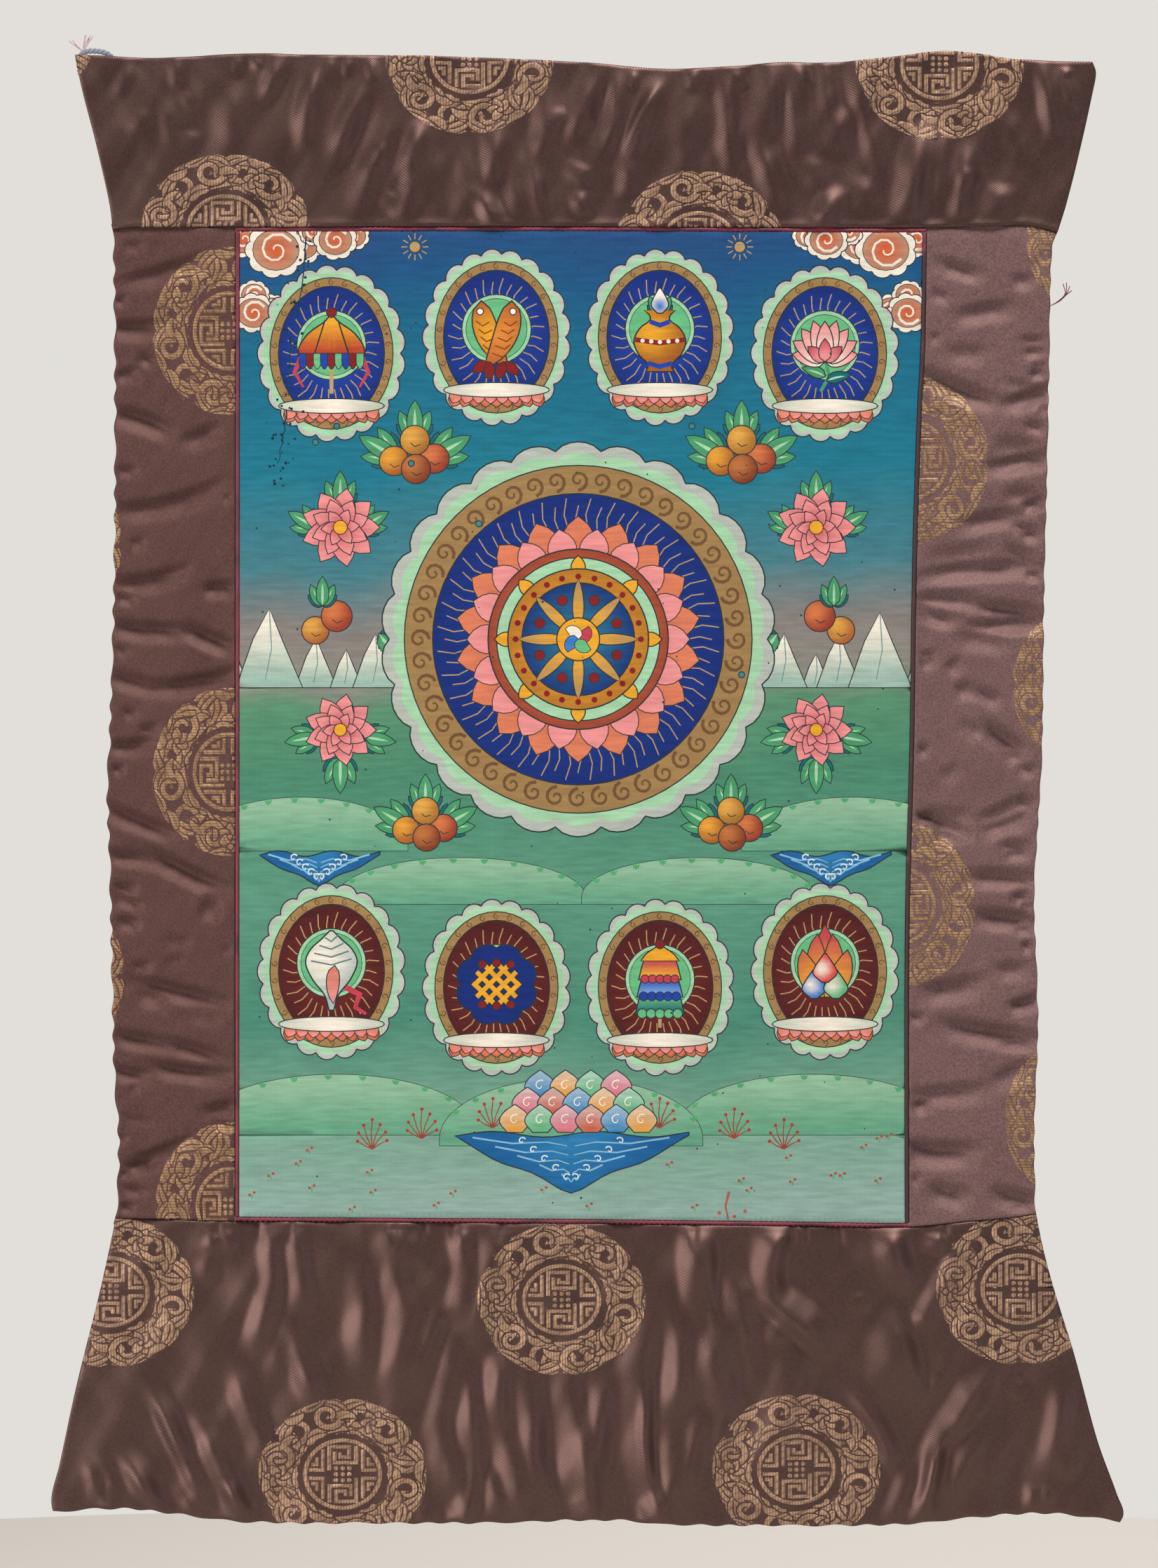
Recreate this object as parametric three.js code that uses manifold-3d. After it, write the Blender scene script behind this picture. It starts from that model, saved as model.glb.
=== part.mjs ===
// Thangka scroll painting: a painted canvas sewn into a frame of four satin brocade panels,
// with a narrow crimson strip along each side of the canvas. It hangs by its top edge.
// Millimetres. X runs to the viewer's right, the painted face looks along -Y and Z is up.
// The origin is in the middle of the top edge, half-way through the thickness of the cloth.
import * as THREE from 'three';
import { mergeVertices } from 'three/addons/utils/BufferGeometryUtils.js';
import Module from 'manifold-3d';

const wasm = await Module();
wasm.setup();

// Driving dimensions
const SATIN_THICK = 1.6; // brocade with its turned-in edge
const CANVAS_THICK = 1.2; // primed and painted cotton
const STRIP_THICK = 1.6;
const STRIP_WIDTH = 1.8; // what shows of the crimson strip
const SEAM_GAP = 0.3; // between neighbouring pieces
const SEAM_PINCH = 8; // how far from a seam its folds are held flat
const SEAM_HOLD = 0.3; // share of a fold's height that is left on the seam line
const SIDE_PINCH = 6;
const SCALLOP = { depth: 0.7, pitch: 17, wander: 61 }; // puckers along the outer edges of the side panels
const FADE_SHARE = 0.22; // share of a fold's length over which each end dies away
const LIGHT_SIDE = new THREE.Vector2(-0.4, 0.92); // folds lean with their steep backs turned away from here

// How finely each cloth is divided: columns across, rows down
const GRID = {
  panel_top: { columns: 120, rows: 6 },
  panel_bottom: { columns: 124, rows: 8 },
  panel_side: { columns: 4, rows: 92 },
  painting: { columns: 8, rows: 12 },
  strip_level: { columns: 24, rows: 1 },
  strip_upright: { columns: 1, rows: 30 },
};

// Outline of the hanging, each a smooth curve through its rows
// columns: x, z
const TOP_EDGE = [
  [-288, 4.3], [-240, 2.6], [-192, 5], [-144, 4.3], [-96, 3.9], [-48, 2.4], [0, 0], [45, -3.5],
  [80, -2.3], [110, 0], [140, 0], [172, 3.2], [203, 6.5], [222, 5], [240, 2], [262, 0.6], [288, 0],
];
const BOTTOM_EDGE = [
  [-301, -816], [-262, -814], [-240, -816], [-205, -821], [-175, -822.5], [-60, -822.5], [14, -821],
  [50, -823.5], [150, -824], [190, -822.5], [220, -819.5], [255, -817], [276, -818], [304, -822],
];
const SEAM_TOP = [
  [-270, -94.6], [-250, -93], [-195, -92.8], [0, -92.6], [190, -93.3], [230, -92.6], [250, -92], [268, -96.4],
];
const SEAM_BOTTOM = [
  [-268, -651], [-240, -651.7], [-195, -652.7], [-100, -653.3], [0, -654], [120, -655.4], [182, -656],
  [215, -653], [240, -650.8], [256, -648.6],
];
// columns: z, x
const OUTER_LEFT = [
  [8, -288.4], [-16, -283.4], [-48, -275.2], [-80, -268.2], [-95, -266.4], [-110, -265.6], [-200, -265],
  [-290, -265.5], [-380, -268], [-410, -269.4], [-450, -268], [-520, -266.5], [-570, -265.4], [-605, -263],
  [-645, -264], [-655, -265.4], [-696, -274.5], [-743, -286.2], [-790, -296.2], [-810, -300.6], [-826, -296],
];
const OUTER_RIGHT = [
  [8, 281], [0, 285.4], [-6, 287.5], [-16, 286], [-48, 279], [-80, 271], [-96, 266], [-104, 263.2],
  [-130, 262], [-180, 261.3], [-240, 260], [-290, 258.7], [-390, 257.3], [-430, 255], [-470, 253], [-540, 255.2],
  [-600, 253], [-640, 253.6], [-650, 254.4], [-680, 261], [-727, 275.3], [-775, 288.2], [-806, 299.2],
  [-818, 303], [-828, 296],
];
const CANVAS_LEFT = [[-90, -194.8], [-370, -194.9], [-660, -195.1]];
const CANVAS_RIGHT = [
  [-90, 190], [-160, 189], [-200, 186.9], [-286, 184.2], [-385, 182.7], [-478, 180.3], [-560, 179.9], [-660, 180.1],
];

// Slow swells of the whole hanging, towards the viewer
// columns: centre x, centre z, reach in x, reach in z, height
const SWELLS = [
  [-10, -380, 290, 380, 3.0],
  [-295, -812, 90, 80, 4.0],
  [300, -818, 80, 90, 3.5],
  [283, 0, 80, 70, 2.5],
  [-285, 2, 70, 60, 1.5],
  [70, -740, 120, 110, 2.0],
];

// Folds. A ridge climbs across its band, then falls away over a further width.
// A crease has a negative height and drops across its band, then climbs back.
// columns: from x, from z, to x, to z, bow at its middle, band, fall, height
const TOP_FOLDS = [
  [-206, -2, -208, -56, 0, 8, 10, 1.6],
  [-174, 8, -188, -25, 1, 5, 7, 2.1],
  [-151, 12, -166, -58, -2, 6, 9, 2.9],
  [-127, -2, -149, -62, 0, 6, 8, 2.9],
  [-107, -12, -138, -90, -1, 7, 10, 3.4],
  [-96, -28, -107, -68, 0, 6, 8, 2.3],
  [-95, -52, -113, -98, 0, 6, 9, 2.3],
  [-73, -36, -75, -98, 0, 8, 8, 1.6],
  [-54, -30, -58, -78, -1, 7, 8, 2.6],
  [-59, -64, -43, -100, 1, 6, 8, 2.6],
  [-42, -36, -39, -98, -4, 6, 8, 1.6],
  [-24, -10, -38, -66, 2, 6.5, 10, 3.1],
  [-38, -50, -28, -100, 1, 6, 8, 2.6],
  [6, 4, -14, -52, -2, 6.5, 9, 2.9],
  [13, 6, 4, -60, 4, 5, 7, 2.1],
  [46, 4, 17, -66, -3, 6, 8, 3.1],
  [54, -8, 43, -74, 2, 9, 10, 2.9],
  [78, 12, 80, -74, -4, 6, 8, 2.6],
  [100, 10, 90, -52, 1, 7.5, 9, 2.9],
  [90, -32, 108, -96, -1, 7, 10, 2.9],
  [110, 12, 113, -68, 2, 6, 8, 2.3],
  [128, 10, 132, -38, 2, 5, 7, 2.0],
  [147, 12, 167, -76, -4, 6, 9, 2.6],
  [142, -22, 133, -56, 0, 7, 9, 2.1],
  [140, -66, 126, -98, -2, 6, 9, 2.3],
  [184, -28, 176, -104, -2, 8, 11, 3.6],
  [198, -34, 193, -90, 0, 6, 8, 2.6],
  [211, -38, 205, -104, -1, 6, 10, 3.1],
  [253, 6, 263, -52, -1.5, 5, 7, 2.1],
  [230, -24, 242, -64, 0, 7, 9, 1.7],
];
const BOTTOM_FOLDS = [
  [-184, -650, -180, -700, 1, 6, 7, 2.8],
  [-179, -680, -195, -732, 0, 6.5, 9, 3.6],
  [-171, -646, -161, -715, -1, 7, 8, 2.8],
  [-172, -704, -153, -764, -2, 6.5, 9, 3.1],
  [-206, -722, -179, -802, -1, 6.5, 9, 3.1],
  [-244, -736, -214, -792, -1, 5.5, 7, 3.6],
  [-219, -772, -194, -832, 1, 6, 9, 3.6],
  [-259, -770, -227, -830, 1, 5, 7, 2.8],
  [-128, -650, -130, -760, -3, 8, 9, 2.2],
  [-115, -645, -105, -712, -5, 8, 9, 3.4],
  [-99, -680, -119, -762, -1, 8.5, 10, 3.9],
  [-86, -688, -106, -758, 0, 7, 9, 4.2],
  [-77, -648, -72, -692, 1, 6, 7, 2.7],
  [-72, -674, -81, -714, 1, 6, 8, 2.7],
  [-80, -704, -91, -782, 1, 8, 9, 3.1],
  [-91, -754, -78, -818, -1, 7, 9, 2.5],
  [-50, -648, -69, -732, -5, 8, 9, 3.4],
  [-73, -720, -66, -800, -1, 7, 8, 3.4],
  [-66, -774, -74, -832, 1, 6, 7, 3.1],
  [-52, -716, -53, -774, -2, 7, 8, 3.1],
  [-54, -750, -38, -836, -1, 7, 8, 3.1],
  [-39, -716, -34, -840, 0, 8, 10, 3.9],
  [-19, -724, -3, -834, 0, 9, 8, 3.1],
  [7, -724, -3, -838, -2, 7, 9, 3.4],
  [27, -700, 23, -786, -2, 10, 9, 3.1],
  [22, -756, 38, -836, -2, 8, 7, 3.1],
  [45, -688, 44, -774, 3, 6.5, 8, 2.8],
  [46, -752, 36, -836, 1, 6.5, 8, 3.1],
  [55, -646, 58, -726, -1, 6, 7, 3.1],
  [62, -648, 66, -718, 0, 5.5, 7, 3.1],
  [65, -690, 73, -782, 2, 8, 10, 3.4],
  [63, -750, 48, -816, -1, 6, 8, 3.1],
  [74, -662, 90, -754, 0, 8, 9, 2.1],
  [105, -648, 98, -700, -4, 9, 9, 4.2],
  [92, -678, 150, -728, 3, 10, 9, 5.6],
  [120, -714, 82, -798, 2, 10, 12, 3.4],
  [156, -694, 167, -762, 4, 13, 10, 3.6],
  [167, -652, 182, -696, -6, 8, 9, 3.1],
  [214, -658, 182, -712, 0, 6, 10, 3.4],
  [152, -742, 181, -798, 4, 6, 6, 3.4],
  [181, -776, 164, -828, 2, 6, 7, 2.8],
  [225, -726, 191, -780, 0, 8, 10, 3.9],
  [197, -758, 184, -836, -3, 6, 8, 3.4],
  [218, -764, 198, -816, 0, 6, 9, 2.5],
  [268, -732, 256, -798, -1, 6, 9, 2.5],
];
const LEFT_FOLDS = [
  [-272, -125, -204, -104, 0, 5, 8, -2.2],
  [-276, -148, -232, -146, 1, 5, 9, -2.8],
  [-278, -194, -224, -212, 6, 6, 9, -3.0],
  [-232, -213, -202, -201, 0, 6, 8, -2.1],
  [-282, -249, -194, -228, -7, 6, 9, -2.5],
  [-276, -290, -218, -279, -4, 6, 8, -2.8],
  [-220, -295, -192, -293, 1, 5, 7, -2.5],
  [-278, -313, -214, -317, -1, 6, 8, -3.0],
  [-228, -312, -190, -329, -1, 6.5, 8, -3.2],
  [-276, -338, -234, -350, -1, 6, 8, -2.5],
  [-256, -350, -186, -338, -2, 6, 8, -3.2],
  [-276, -383, -236, -379, -1, 5, 7, -2.5],
  [-280, -411, -220, -436, -1, 6, 8, -2.8],
  [-258, -434, -188, -468, -1.5, 6, 9, -3.2],
  [-274, -443, -240, -449, 1.5, 5, 7, -2.3],
  [-270, -511, -188, -531, 1, 6, 8, -2.8],
  [-272, -543, -230, -551, 0, 5.5, 8, -2.8],
  [-246, -548, -194, -564, 3, 6, 8, -2.5],
  [-256, -559, -188, -568, -2, 5, 8, -3.0],
  [-272, -563, -240, -570, 0, 5, 7, -2.5],
  [-220, -590, -190, -584, 1, 5, 7, -2.3],
  [-266, -619, -216, -600, -2, 5, 8, -2.5],
];
const RIGHT_FOLDS = [
  [194, -108, 230, -119, 0, 5, 7, -2.1],
  [202, -142, 248, -134, 1.5, 6, 8, -2.1],
  [182, -166, 244, -192, -2, 6, 9, -3.2],
  [230, -192, 270, -178, 0, 5.5, 8, -3.0],
  [218, -227, 270, -217, 0, 5.5, 8, -3.0],
  [204, -260, 252, -251, 2, 6, 8, -2.5],
  [172, -291, 272, -283, 5, 6, 8, -3.0],
  [176, -300, 230, -301, 2, 6, 7, -2.5],
  [210, -302, 268, -310, 1, 6, 8, -3.2],
  [206, -314, 270, -311, -1.5, 5, 7, -3.2],
  [222, -366, 254, -390, 0, 6.5, 9, -3.4],
  [214, -427, 252, -409, -1, 6, 8, -2.1],
  [190, -421, 222, -435, 0, 5.5, 7, -2.8],
  [206, -456, 264, -459, 2, 6.5, 8, -2.8],
  [212, -477, 264, -483, 1.5, 6, 9, -3.4],
  [180, -520, 232, -511, -2, 7, 10, -2.8],
  [234, -531, 262, -522, 0, 5, 7, -3.0],
  [188, -536, 270, -549, 0, 6, 10, -3.4],
  [170, -580, 236, -574, 0, 6, 9, -2.3],
  [170, -605, 230, -609, -2, 7, 11, -3.7],
  [190, -629, 222, -638, 0, 7, 9, -2.8],
  [224, -631, 264, -641, 0, 6.5, 9, -3.0],
];
const CANVAS_FOLDS = [
  [-162, -96, -158, -240, 2, 14, 16, -0.8],
  [60, -110, 52, -640, 8, 40, 60, 0.9],
  [-90, -300, -80, -660, -6, 50, 50, 0.8],
];

// Corner tie: a flat cord sewn behind the top left corner, with a frayed end
const TIE = { width: 2.6, thick: 1.3, steps: 16 };
// columns: x, z
const TIE_ROUTE = [[-284.5, -7], [-285.6, 3.6], [-282.8, 9.4], [-276.9, 10.2], [-271, 8.6], [-267, 4.6], [-265.5, -6]];
const TIE_FRAY_ROOT = [-283, 9];
const TIE_FRAY_ENDS = [[-288.6, 12.2], [-281, 15.4], [-279, 13.4]];

// Loose thread: a tuft of sewing thread that hangs from the right edge
const THREAD = { width: 0.9, steps: 6 };
const THREAD_ROOT_Z = -137;
const THREAD_KNEE = [271, -130.4];
const THREAD_ENDS = [[269.2, -124.6], [271.2, -124], [273, -126]];

/** Smooth curve through rows of [at, value], held flat past both ends. */
function curveThrough(rows) {
  const sorted = [...rows].sort((a, b) => a[0] - b[0]);
  const slope = (i) => {
    const before = sorted[Math.max(i - 1, 0)];
    const after = sorted[Math.min(i + 1, sorted.length - 1)];
    return (after[1] - before[1]) / (after[0] - before[0]);
  };
  return (at) => {
    const last = sorted.length - 1;
    if (at <= sorted[0][0]) return sorted[0][1];
    if (at >= sorted[last][0]) return sorted[last][1];
    const i = sorted.findIndex((row) => row[0] > at) - 1;
    const span = sorted[i + 1][0] - sorted[i][0];
    const t = (at - sorted[i][0]) / span;
    const near = (1 + 2 * t) * (1 - t) * (1 - t);
    const far = t * t * (3 - 2 * t);
    const turn = t * (1 - t) * (1 - t) * span * slope(i) - t * t * (1 - t) * span * slope(i + 1);
    return near * sorted[i][1] + far * sorted[i + 1][1] + turn;
  };
}

const topEdge = curveThrough(TOP_EDGE);
const bottomEdge = curveThrough(BOTTOM_EDGE);
const seamTop = curveThrough(SEAM_TOP);
const seamBottom = curveThrough(SEAM_BOTTOM);
const canvasLeft = curveThrough(CANVAS_LEFT);
const canvasRight = curveThrough(CANVAS_RIGHT);
const outerLeft = curveThrough(OUTER_LEFT);
const outerRight = curveThrough(OUTER_RIGHT);

/** Small puckers of a side panel's outer edge, inwards. */
function scallop(z) {
  const wander = 1.3 * Math.sin((2 * Math.PI * z) / SCALLOP.wander);
  return SCALLOP.depth * Math.sin((2 * Math.PI * z) / SCALLOP.pitch + wander);
}

/** 0 below 0, 1 above 1, smooth between. */
function ease(t) {
  const held = THREE.MathUtils.clamp(t, 0, 1);
  return held * held * (3 - 2 * held);
}

/** How far the whole hanging swells towards the viewer. */
function swell(x, z) {
  let height = 0;
  for (const [centreX, centreZ, reachX, reachZ, rise] of SWELLS) {
    const distance = Math.hypot((x - centreX) / reachX, (z - centreZ) / reachZ);
    height += rise * ease(1 - distance);
  }
  return height;
}

/** Sum of a table's folds at one place. */
function folded(table, x, z) {
  let total = 0;
  for (const [fromX, fromZ, toX, toZ, bow, band, fall, height] of table) {
    const along = new THREE.Vector2(toX - fromX, toZ - fromZ);
    const length = along.length();
    along.divideScalar(length);
    const across = new THREE.Vector2(-along.y, along.x);
    const t = ((x - fromX) * along.x + (z - fromZ) * along.y) / length;
    if (t <= 0 || t >= 1) continue;
    const away = across.dot(LIGHT_SIDE) < 0 ? 1 : -1;
    const offset = (x - fromX) * across.x + (z - fromZ) * across.y - bow * 4 * t * (1 - t);
    const s = away * Math.sign(height) * offset;
    const climb = ease(s / band + 0.5);
    const drop = ease((s - band / 2) / fall);
    total += height * (climb - drop) * ease(t / FADE_SHARE) * ease((1 - t) / FADE_SHARE);
  }
  return total;
}

/** Share of a fold's height that a seam at this distance leaves. */
function pinched(distance, reach) {
  return SEAM_HOLD + (1 - SEAM_HOLD) * ease(distance / reach);
}

const RELIEF = {
  panel_top: (x, z) => swell(x, z) + folded(TOP_FOLDS, x, z) * pinched(z - seamTop(x), SEAM_PINCH),
  panel_bottom: (x, z) => swell(x, z) + folded(BOTTOM_FOLDS, x, z) * pinched(seamBottom(x) - z, SEAM_PINCH),
  panel_left: (x, z) => swell(x, z) + folded(LEFT_FOLDS, x, z) * pinched(canvasLeft(z) - x, SIDE_PINCH)
    * pinched(Math.min(seamTop(x) - z, z - seamBottom(x)), SEAM_PINCH),
  panel_right: (x, z) => swell(x, z) + folded(RIGHT_FOLDS, x, z) * pinched(x - canvasRight(z), SIDE_PINCH)
    * pinched(Math.min(seamTop(x) - z, z - seamBottom(x)), SEAM_PINCH),
  painting: (x, z) => swell(x, z) + folded(CANVAS_FOLDS, x, z),
  strip: (x, z) => swell(x, z),
};
const originRelief = RELIEF.panel_top(0, 0);

/** Depth of the middle of a cloth: its relief stands towards -Y. */
function depthAt(relief, x, z) {
  return originRelief - relief(x, z);
}

/** Place in a patch between two edges in x (functions of z) and two in z (functions of x). */
function patchPlace({ west, east, north, south }, u, v) {
  let z = THREE.MathUtils.lerp(north(0), south(0), v);
  let x = 0;
  for (let pass = 0; pass < 6; pass += 1) {
    x = THREE.MathUtils.lerp(west(z), east(z), u);
    z = THREE.MathUtils.lerp(north(x), south(x), v);
  }
  return [x, z];
}

/** Closed sheet of even thickness over a patch, front and back following the same relief. */
function sheetGeometry(patch, { columns, rows }, relief, thick) {
  const points = [];
  const faces = [];
  for (const side of [-1, 1]) {
    for (let row = 0; row <= rows; row += 1) {
      for (let column = 0; column <= columns; column += 1) {
        const [x, z] = patchPlace(patch, column / columns, row / rows);
        points.push(x, depthAt(relief, x, z) + (side * thick) / 2, z);
      }
    }
  }
  const width = columns + 1;
  const layer = width * (rows + 1);
  const quad = (a, b, c, d) => faces.push(a, b, c, a, c, d);
  for (let row = 0; row < rows; row += 1) {
    for (let column = 0; column < columns; column += 1) {
      const corner = row * width + column;
      quad(corner, corner + width, corner + width + 1, corner + 1);
      const back = layer + corner;
      quad(back, back + 1, back + width + 1, back + width);
    }
  }
  for (let column = 0; column < columns; column += 1) {
    const low = rows * width + column;
    quad(column, column + 1, layer + column + 1, layer + column);
    quad(low + 1, low, layer + low, layer + low + 1);
  }
  for (let row = 0; row < rows; row += 1) {
    const west = row * width;
    const east = west + columns;
    quad(west + width, west, layer + west, layer + west + width);
    quad(east, east + width, layer + east + width, layer + east);
  }
  const geometry = new THREE.BufferGeometry();
  geometry.setAttribute('position', new THREE.Float32BufferAttribute(points, 3));
  geometry.setIndex(faces);
  geometry.computeVertexNormals();
  return geometry;
}

/** A curve moved by a fixed distance. */
function shifted(curve, by) {
  return (at) => curve(at) + by;
}

/** Flat or square cord along points, as a closed extrusion. */
function cordGeometry(points, width, thick, steps) {
  const section = new THREE.Shape();
  section.moveTo(-thick / 2, -width / 4);
  section.lineTo(0, -width / 2);
  section.lineTo(thick / 2, -width / 4);
  section.lineTo(thick / 2, width / 4);
  section.lineTo(0, width / 2);
  section.lineTo(-thick / 2, width / 4);
  section.closePath();
  const path = new THREE.CatmullRomCurve3(points.map(([x, y, z]) => new THREE.Vector3(x, y, z)));
  return new THREE.ExtrudeGeometry(section, { extrudePath: path, steps });
}

/** One closed geometry from several that run into each other. */
function joined(geometries) {
  const solids = geometries.map((geometry) => {
    geometry.deleteAttribute('normal');
    geometry.deleteAttribute('uv');
    const merged = mergeVertices(geometry, 1e-4);
    return new wasm.Manifold(new wasm.Mesh({
      numProp: 3,
      vertProperties: new Float32Array(merged.attributes.position.array),
      triVerts: new Uint32Array(merged.index.array),
    }));
  });
  const mesh = solids.reduce((whole, next) => whole.add(next)).getMesh();
  const geometry = new THREE.BufferGeometry();
  geometry.setAttribute('position', new THREE.Float32BufferAttribute(mesh.vertProperties, 3));
  geometry.setIndex([...mesh.triVerts]);
  geometry.computeVertexNormals();
  return geometry;
}

const stripReach = STRIP_WIDTH + 2 * SEAM_GAP;
const canvas = {
  west: canvasLeft,
  east: canvasRight,
  north: shifted(seamTop, -stripReach),
  south: shifted(seamBottom, stripReach),
};

const PATCHES = {
  panel_top: { west: outerLeft, east: outerRight, north: topEdge, south: seamTop },
  panel_bottom: { west: outerLeft, east: outerRight, north: seamBottom, south: bottomEdge },
  panel_left: {
    west: (z) => outerLeft(z) + scallop(z),
    east: shifted(canvasLeft, -stripReach),
    north: shifted(seamTop, -SEAM_GAP),
    south: shifted(seamBottom, SEAM_GAP),
  },
  panel_right: {
    west: shifted(canvasRight, stripReach),
    east: (z) => outerRight(z) - scallop(z),
    north: shifted(seamTop, -SEAM_GAP),
    south: shifted(seamBottom, SEAM_GAP),
  },
  strip_top: {
    west: shifted(canvasLeft, SEAM_GAP - stripReach),
    east: shifted(canvasRight, stripReach - SEAM_GAP),
    north: shifted(seamTop, -SEAM_GAP),
    south: shifted(seamTop, SEAM_GAP - stripReach),
  },
  strip_bottom: {
    west: shifted(canvasLeft, SEAM_GAP - stripReach),
    east: shifted(canvasRight, stripReach - SEAM_GAP),
    north: shifted(seamBottom, stripReach - SEAM_GAP),
    south: shifted(seamBottom, SEAM_GAP),
  },
  strip_left: {
    west: shifted(canvasLeft, SEAM_GAP - stripReach),
    east: shifted(canvasLeft, -SEAM_GAP),
    north: canvas.north,
    south: canvas.south,
  },
  strip_right: {
    west: shifted(canvasRight, SEAM_GAP),
    east: shifted(canvasRight, stripReach - SEAM_GAP),
    north: canvas.north,
    south: canvas.south,
  },
};

const satin = new THREE.MeshStandardMaterial({ color: 0x5a4540, roughness: 0.45, metalness: 0 });
const crimson = new THREE.MeshStandardMaterial({ color: 0x8a2f45, roughness: 0.7, metalness: 0 });
const paintedCanvas = new THREE.MeshStandardMaterial({ color: 0x5f9c8c, roughness: 0.85, metalness: 0 });
const tieCotton = new THREE.MeshStandardMaterial({ color: 0x8a93a5, roughness: 0.9, metalness: 0 });

const hanging = new THREE.Group();

/** Adds one named piece. */
function add(name, geometry, material) {
  const mesh = new THREE.Mesh(geometry, material);
  mesh.name = name;
  hanging.add(mesh);
}

add('painting', sheetGeometry(canvas, GRID.painting, RELIEF.painting, CANVAS_THICK), paintedCanvas);

for (const [name, grid] of Object.entries({
  panel_top: GRID.panel_top,
  panel_bottom: GRID.panel_bottom,
  panel_left: GRID.panel_side,
  panel_right: GRID.panel_side,
})) {
  add(name, sheetGeometry(PATCHES[name], grid, RELIEF[name], SATIN_THICK), satin);
}

for (const [name, grid] of Object.entries({
  strip_top: GRID.strip_level,
  strip_bottom: GRID.strip_level,
  strip_left: GRID.strip_upright,
  strip_right: GRID.strip_upright,
})) {
  add(name, sheetGeometry(PATCHES[name], grid, RELIEF.strip, STRIP_THICK), crimson);
}

const clothBehindTie = Math.max(...TIE_ROUTE.map(([x, z]) => depthAt(RELIEF.panel_top, x, z)));
const tieDepth = clothBehindTie + SATIN_THICK / 2 + SEAM_GAP + TIE.thick / 2;
const fray = TIE_FRAY_ENDS.map(([x, z]) => {
  const root = [TIE_FRAY_ROOT[0], tieDepth, TIE_FRAY_ROOT[1]];
  return cordGeometry([root, [x, tieDepth, z]], THREAD.width, THREAD.width, 2);
});
const tieLoop = cordGeometry(TIE_ROUTE.map(([x, z]) => [x, tieDepth, z]), TIE.width, TIE.thick, TIE.steps);
add('corner_tie', joined([tieLoop, ...fray]), tieCotton);

const threadRoot = [outerRight(THREAD_ROOT_Z) - scallop(THREAD_ROOT_Z) + 2 * SEAM_GAP, THREAD_ROOT_Z];
const threadDepth = depthAt(RELIEF.panel_right, ...threadRoot);
const tuft = THREAD_ENDS.map(([x, z]) => {
  const knee = [THREAD_KNEE[0], threadDepth, THREAD_KNEE[1]];
  const route = [[threadRoot[0], threadDepth, threadRoot[1]], knee, [x, threadDepth, z]];
  return cordGeometry(route, THREAD.width, THREAD.width, THREAD.steps);
});
add('loose_thread', joined(tuft), crimson);

export default hanging;
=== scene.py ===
"""Thangka scroll painting: the looks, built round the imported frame.

Sizes are millimetres in the frame's own axes until a mesh is made: X to the viewer's right, Z up, the
painted face towards -Y. A chart is drawn in (x, z). Meshes are in metres.
"""

import logging
import math
import random
from collections.abc import Callable, Sequence
from dataclasses import dataclass, field, replace
from enum import Enum
from functools import partial
from typing import ClassVar

import bpy
import numpy as np
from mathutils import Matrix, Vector
from mathutils.geometry import delaunay_2d_cdt


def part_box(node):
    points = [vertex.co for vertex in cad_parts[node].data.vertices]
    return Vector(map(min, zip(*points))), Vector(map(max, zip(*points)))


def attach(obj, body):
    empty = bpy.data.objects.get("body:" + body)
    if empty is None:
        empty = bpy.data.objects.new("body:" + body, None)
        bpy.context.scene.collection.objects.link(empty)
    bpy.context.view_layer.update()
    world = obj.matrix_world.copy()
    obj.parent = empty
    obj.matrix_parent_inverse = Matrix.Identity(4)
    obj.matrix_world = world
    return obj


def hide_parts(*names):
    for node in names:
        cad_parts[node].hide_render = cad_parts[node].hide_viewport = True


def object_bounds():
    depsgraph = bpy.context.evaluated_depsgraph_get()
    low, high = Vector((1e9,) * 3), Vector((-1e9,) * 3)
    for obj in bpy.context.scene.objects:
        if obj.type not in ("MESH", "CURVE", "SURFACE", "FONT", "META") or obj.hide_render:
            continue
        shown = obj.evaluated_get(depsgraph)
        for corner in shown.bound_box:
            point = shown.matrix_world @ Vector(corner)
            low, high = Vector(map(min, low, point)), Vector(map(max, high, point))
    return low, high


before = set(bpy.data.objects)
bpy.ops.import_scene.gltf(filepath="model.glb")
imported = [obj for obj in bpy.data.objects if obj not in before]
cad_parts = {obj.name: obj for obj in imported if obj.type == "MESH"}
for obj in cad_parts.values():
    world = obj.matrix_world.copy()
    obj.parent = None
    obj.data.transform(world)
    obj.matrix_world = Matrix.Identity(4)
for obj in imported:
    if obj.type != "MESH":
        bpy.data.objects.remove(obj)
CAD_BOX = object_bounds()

log = logging.getLogger("thangka")

Curve = Callable[[np.ndarray], np.ndarray]
Relief = Callable[[np.ndarray, np.ndarray], np.ndarray]
Points = np.ndarray
Rows = Sequence[Sequence[float]]
AddNode = Callable[..., bpy.types.Node]
Surface = tuple[dict, dict, bpy.types.Node]  # settings and links of the shader, and the height of its bump
Mesh = tuple[np.ndarray, np.ndarray]  # points and faces

MM = 0.001
BODY = "root"

# The photograph's frame, for the camera alone
FRAME_PIXELS = (1652, 2236)
MM_PER_PIXEL = 0.395
ORIGIN_PIXEL = (835, 89)

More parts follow.
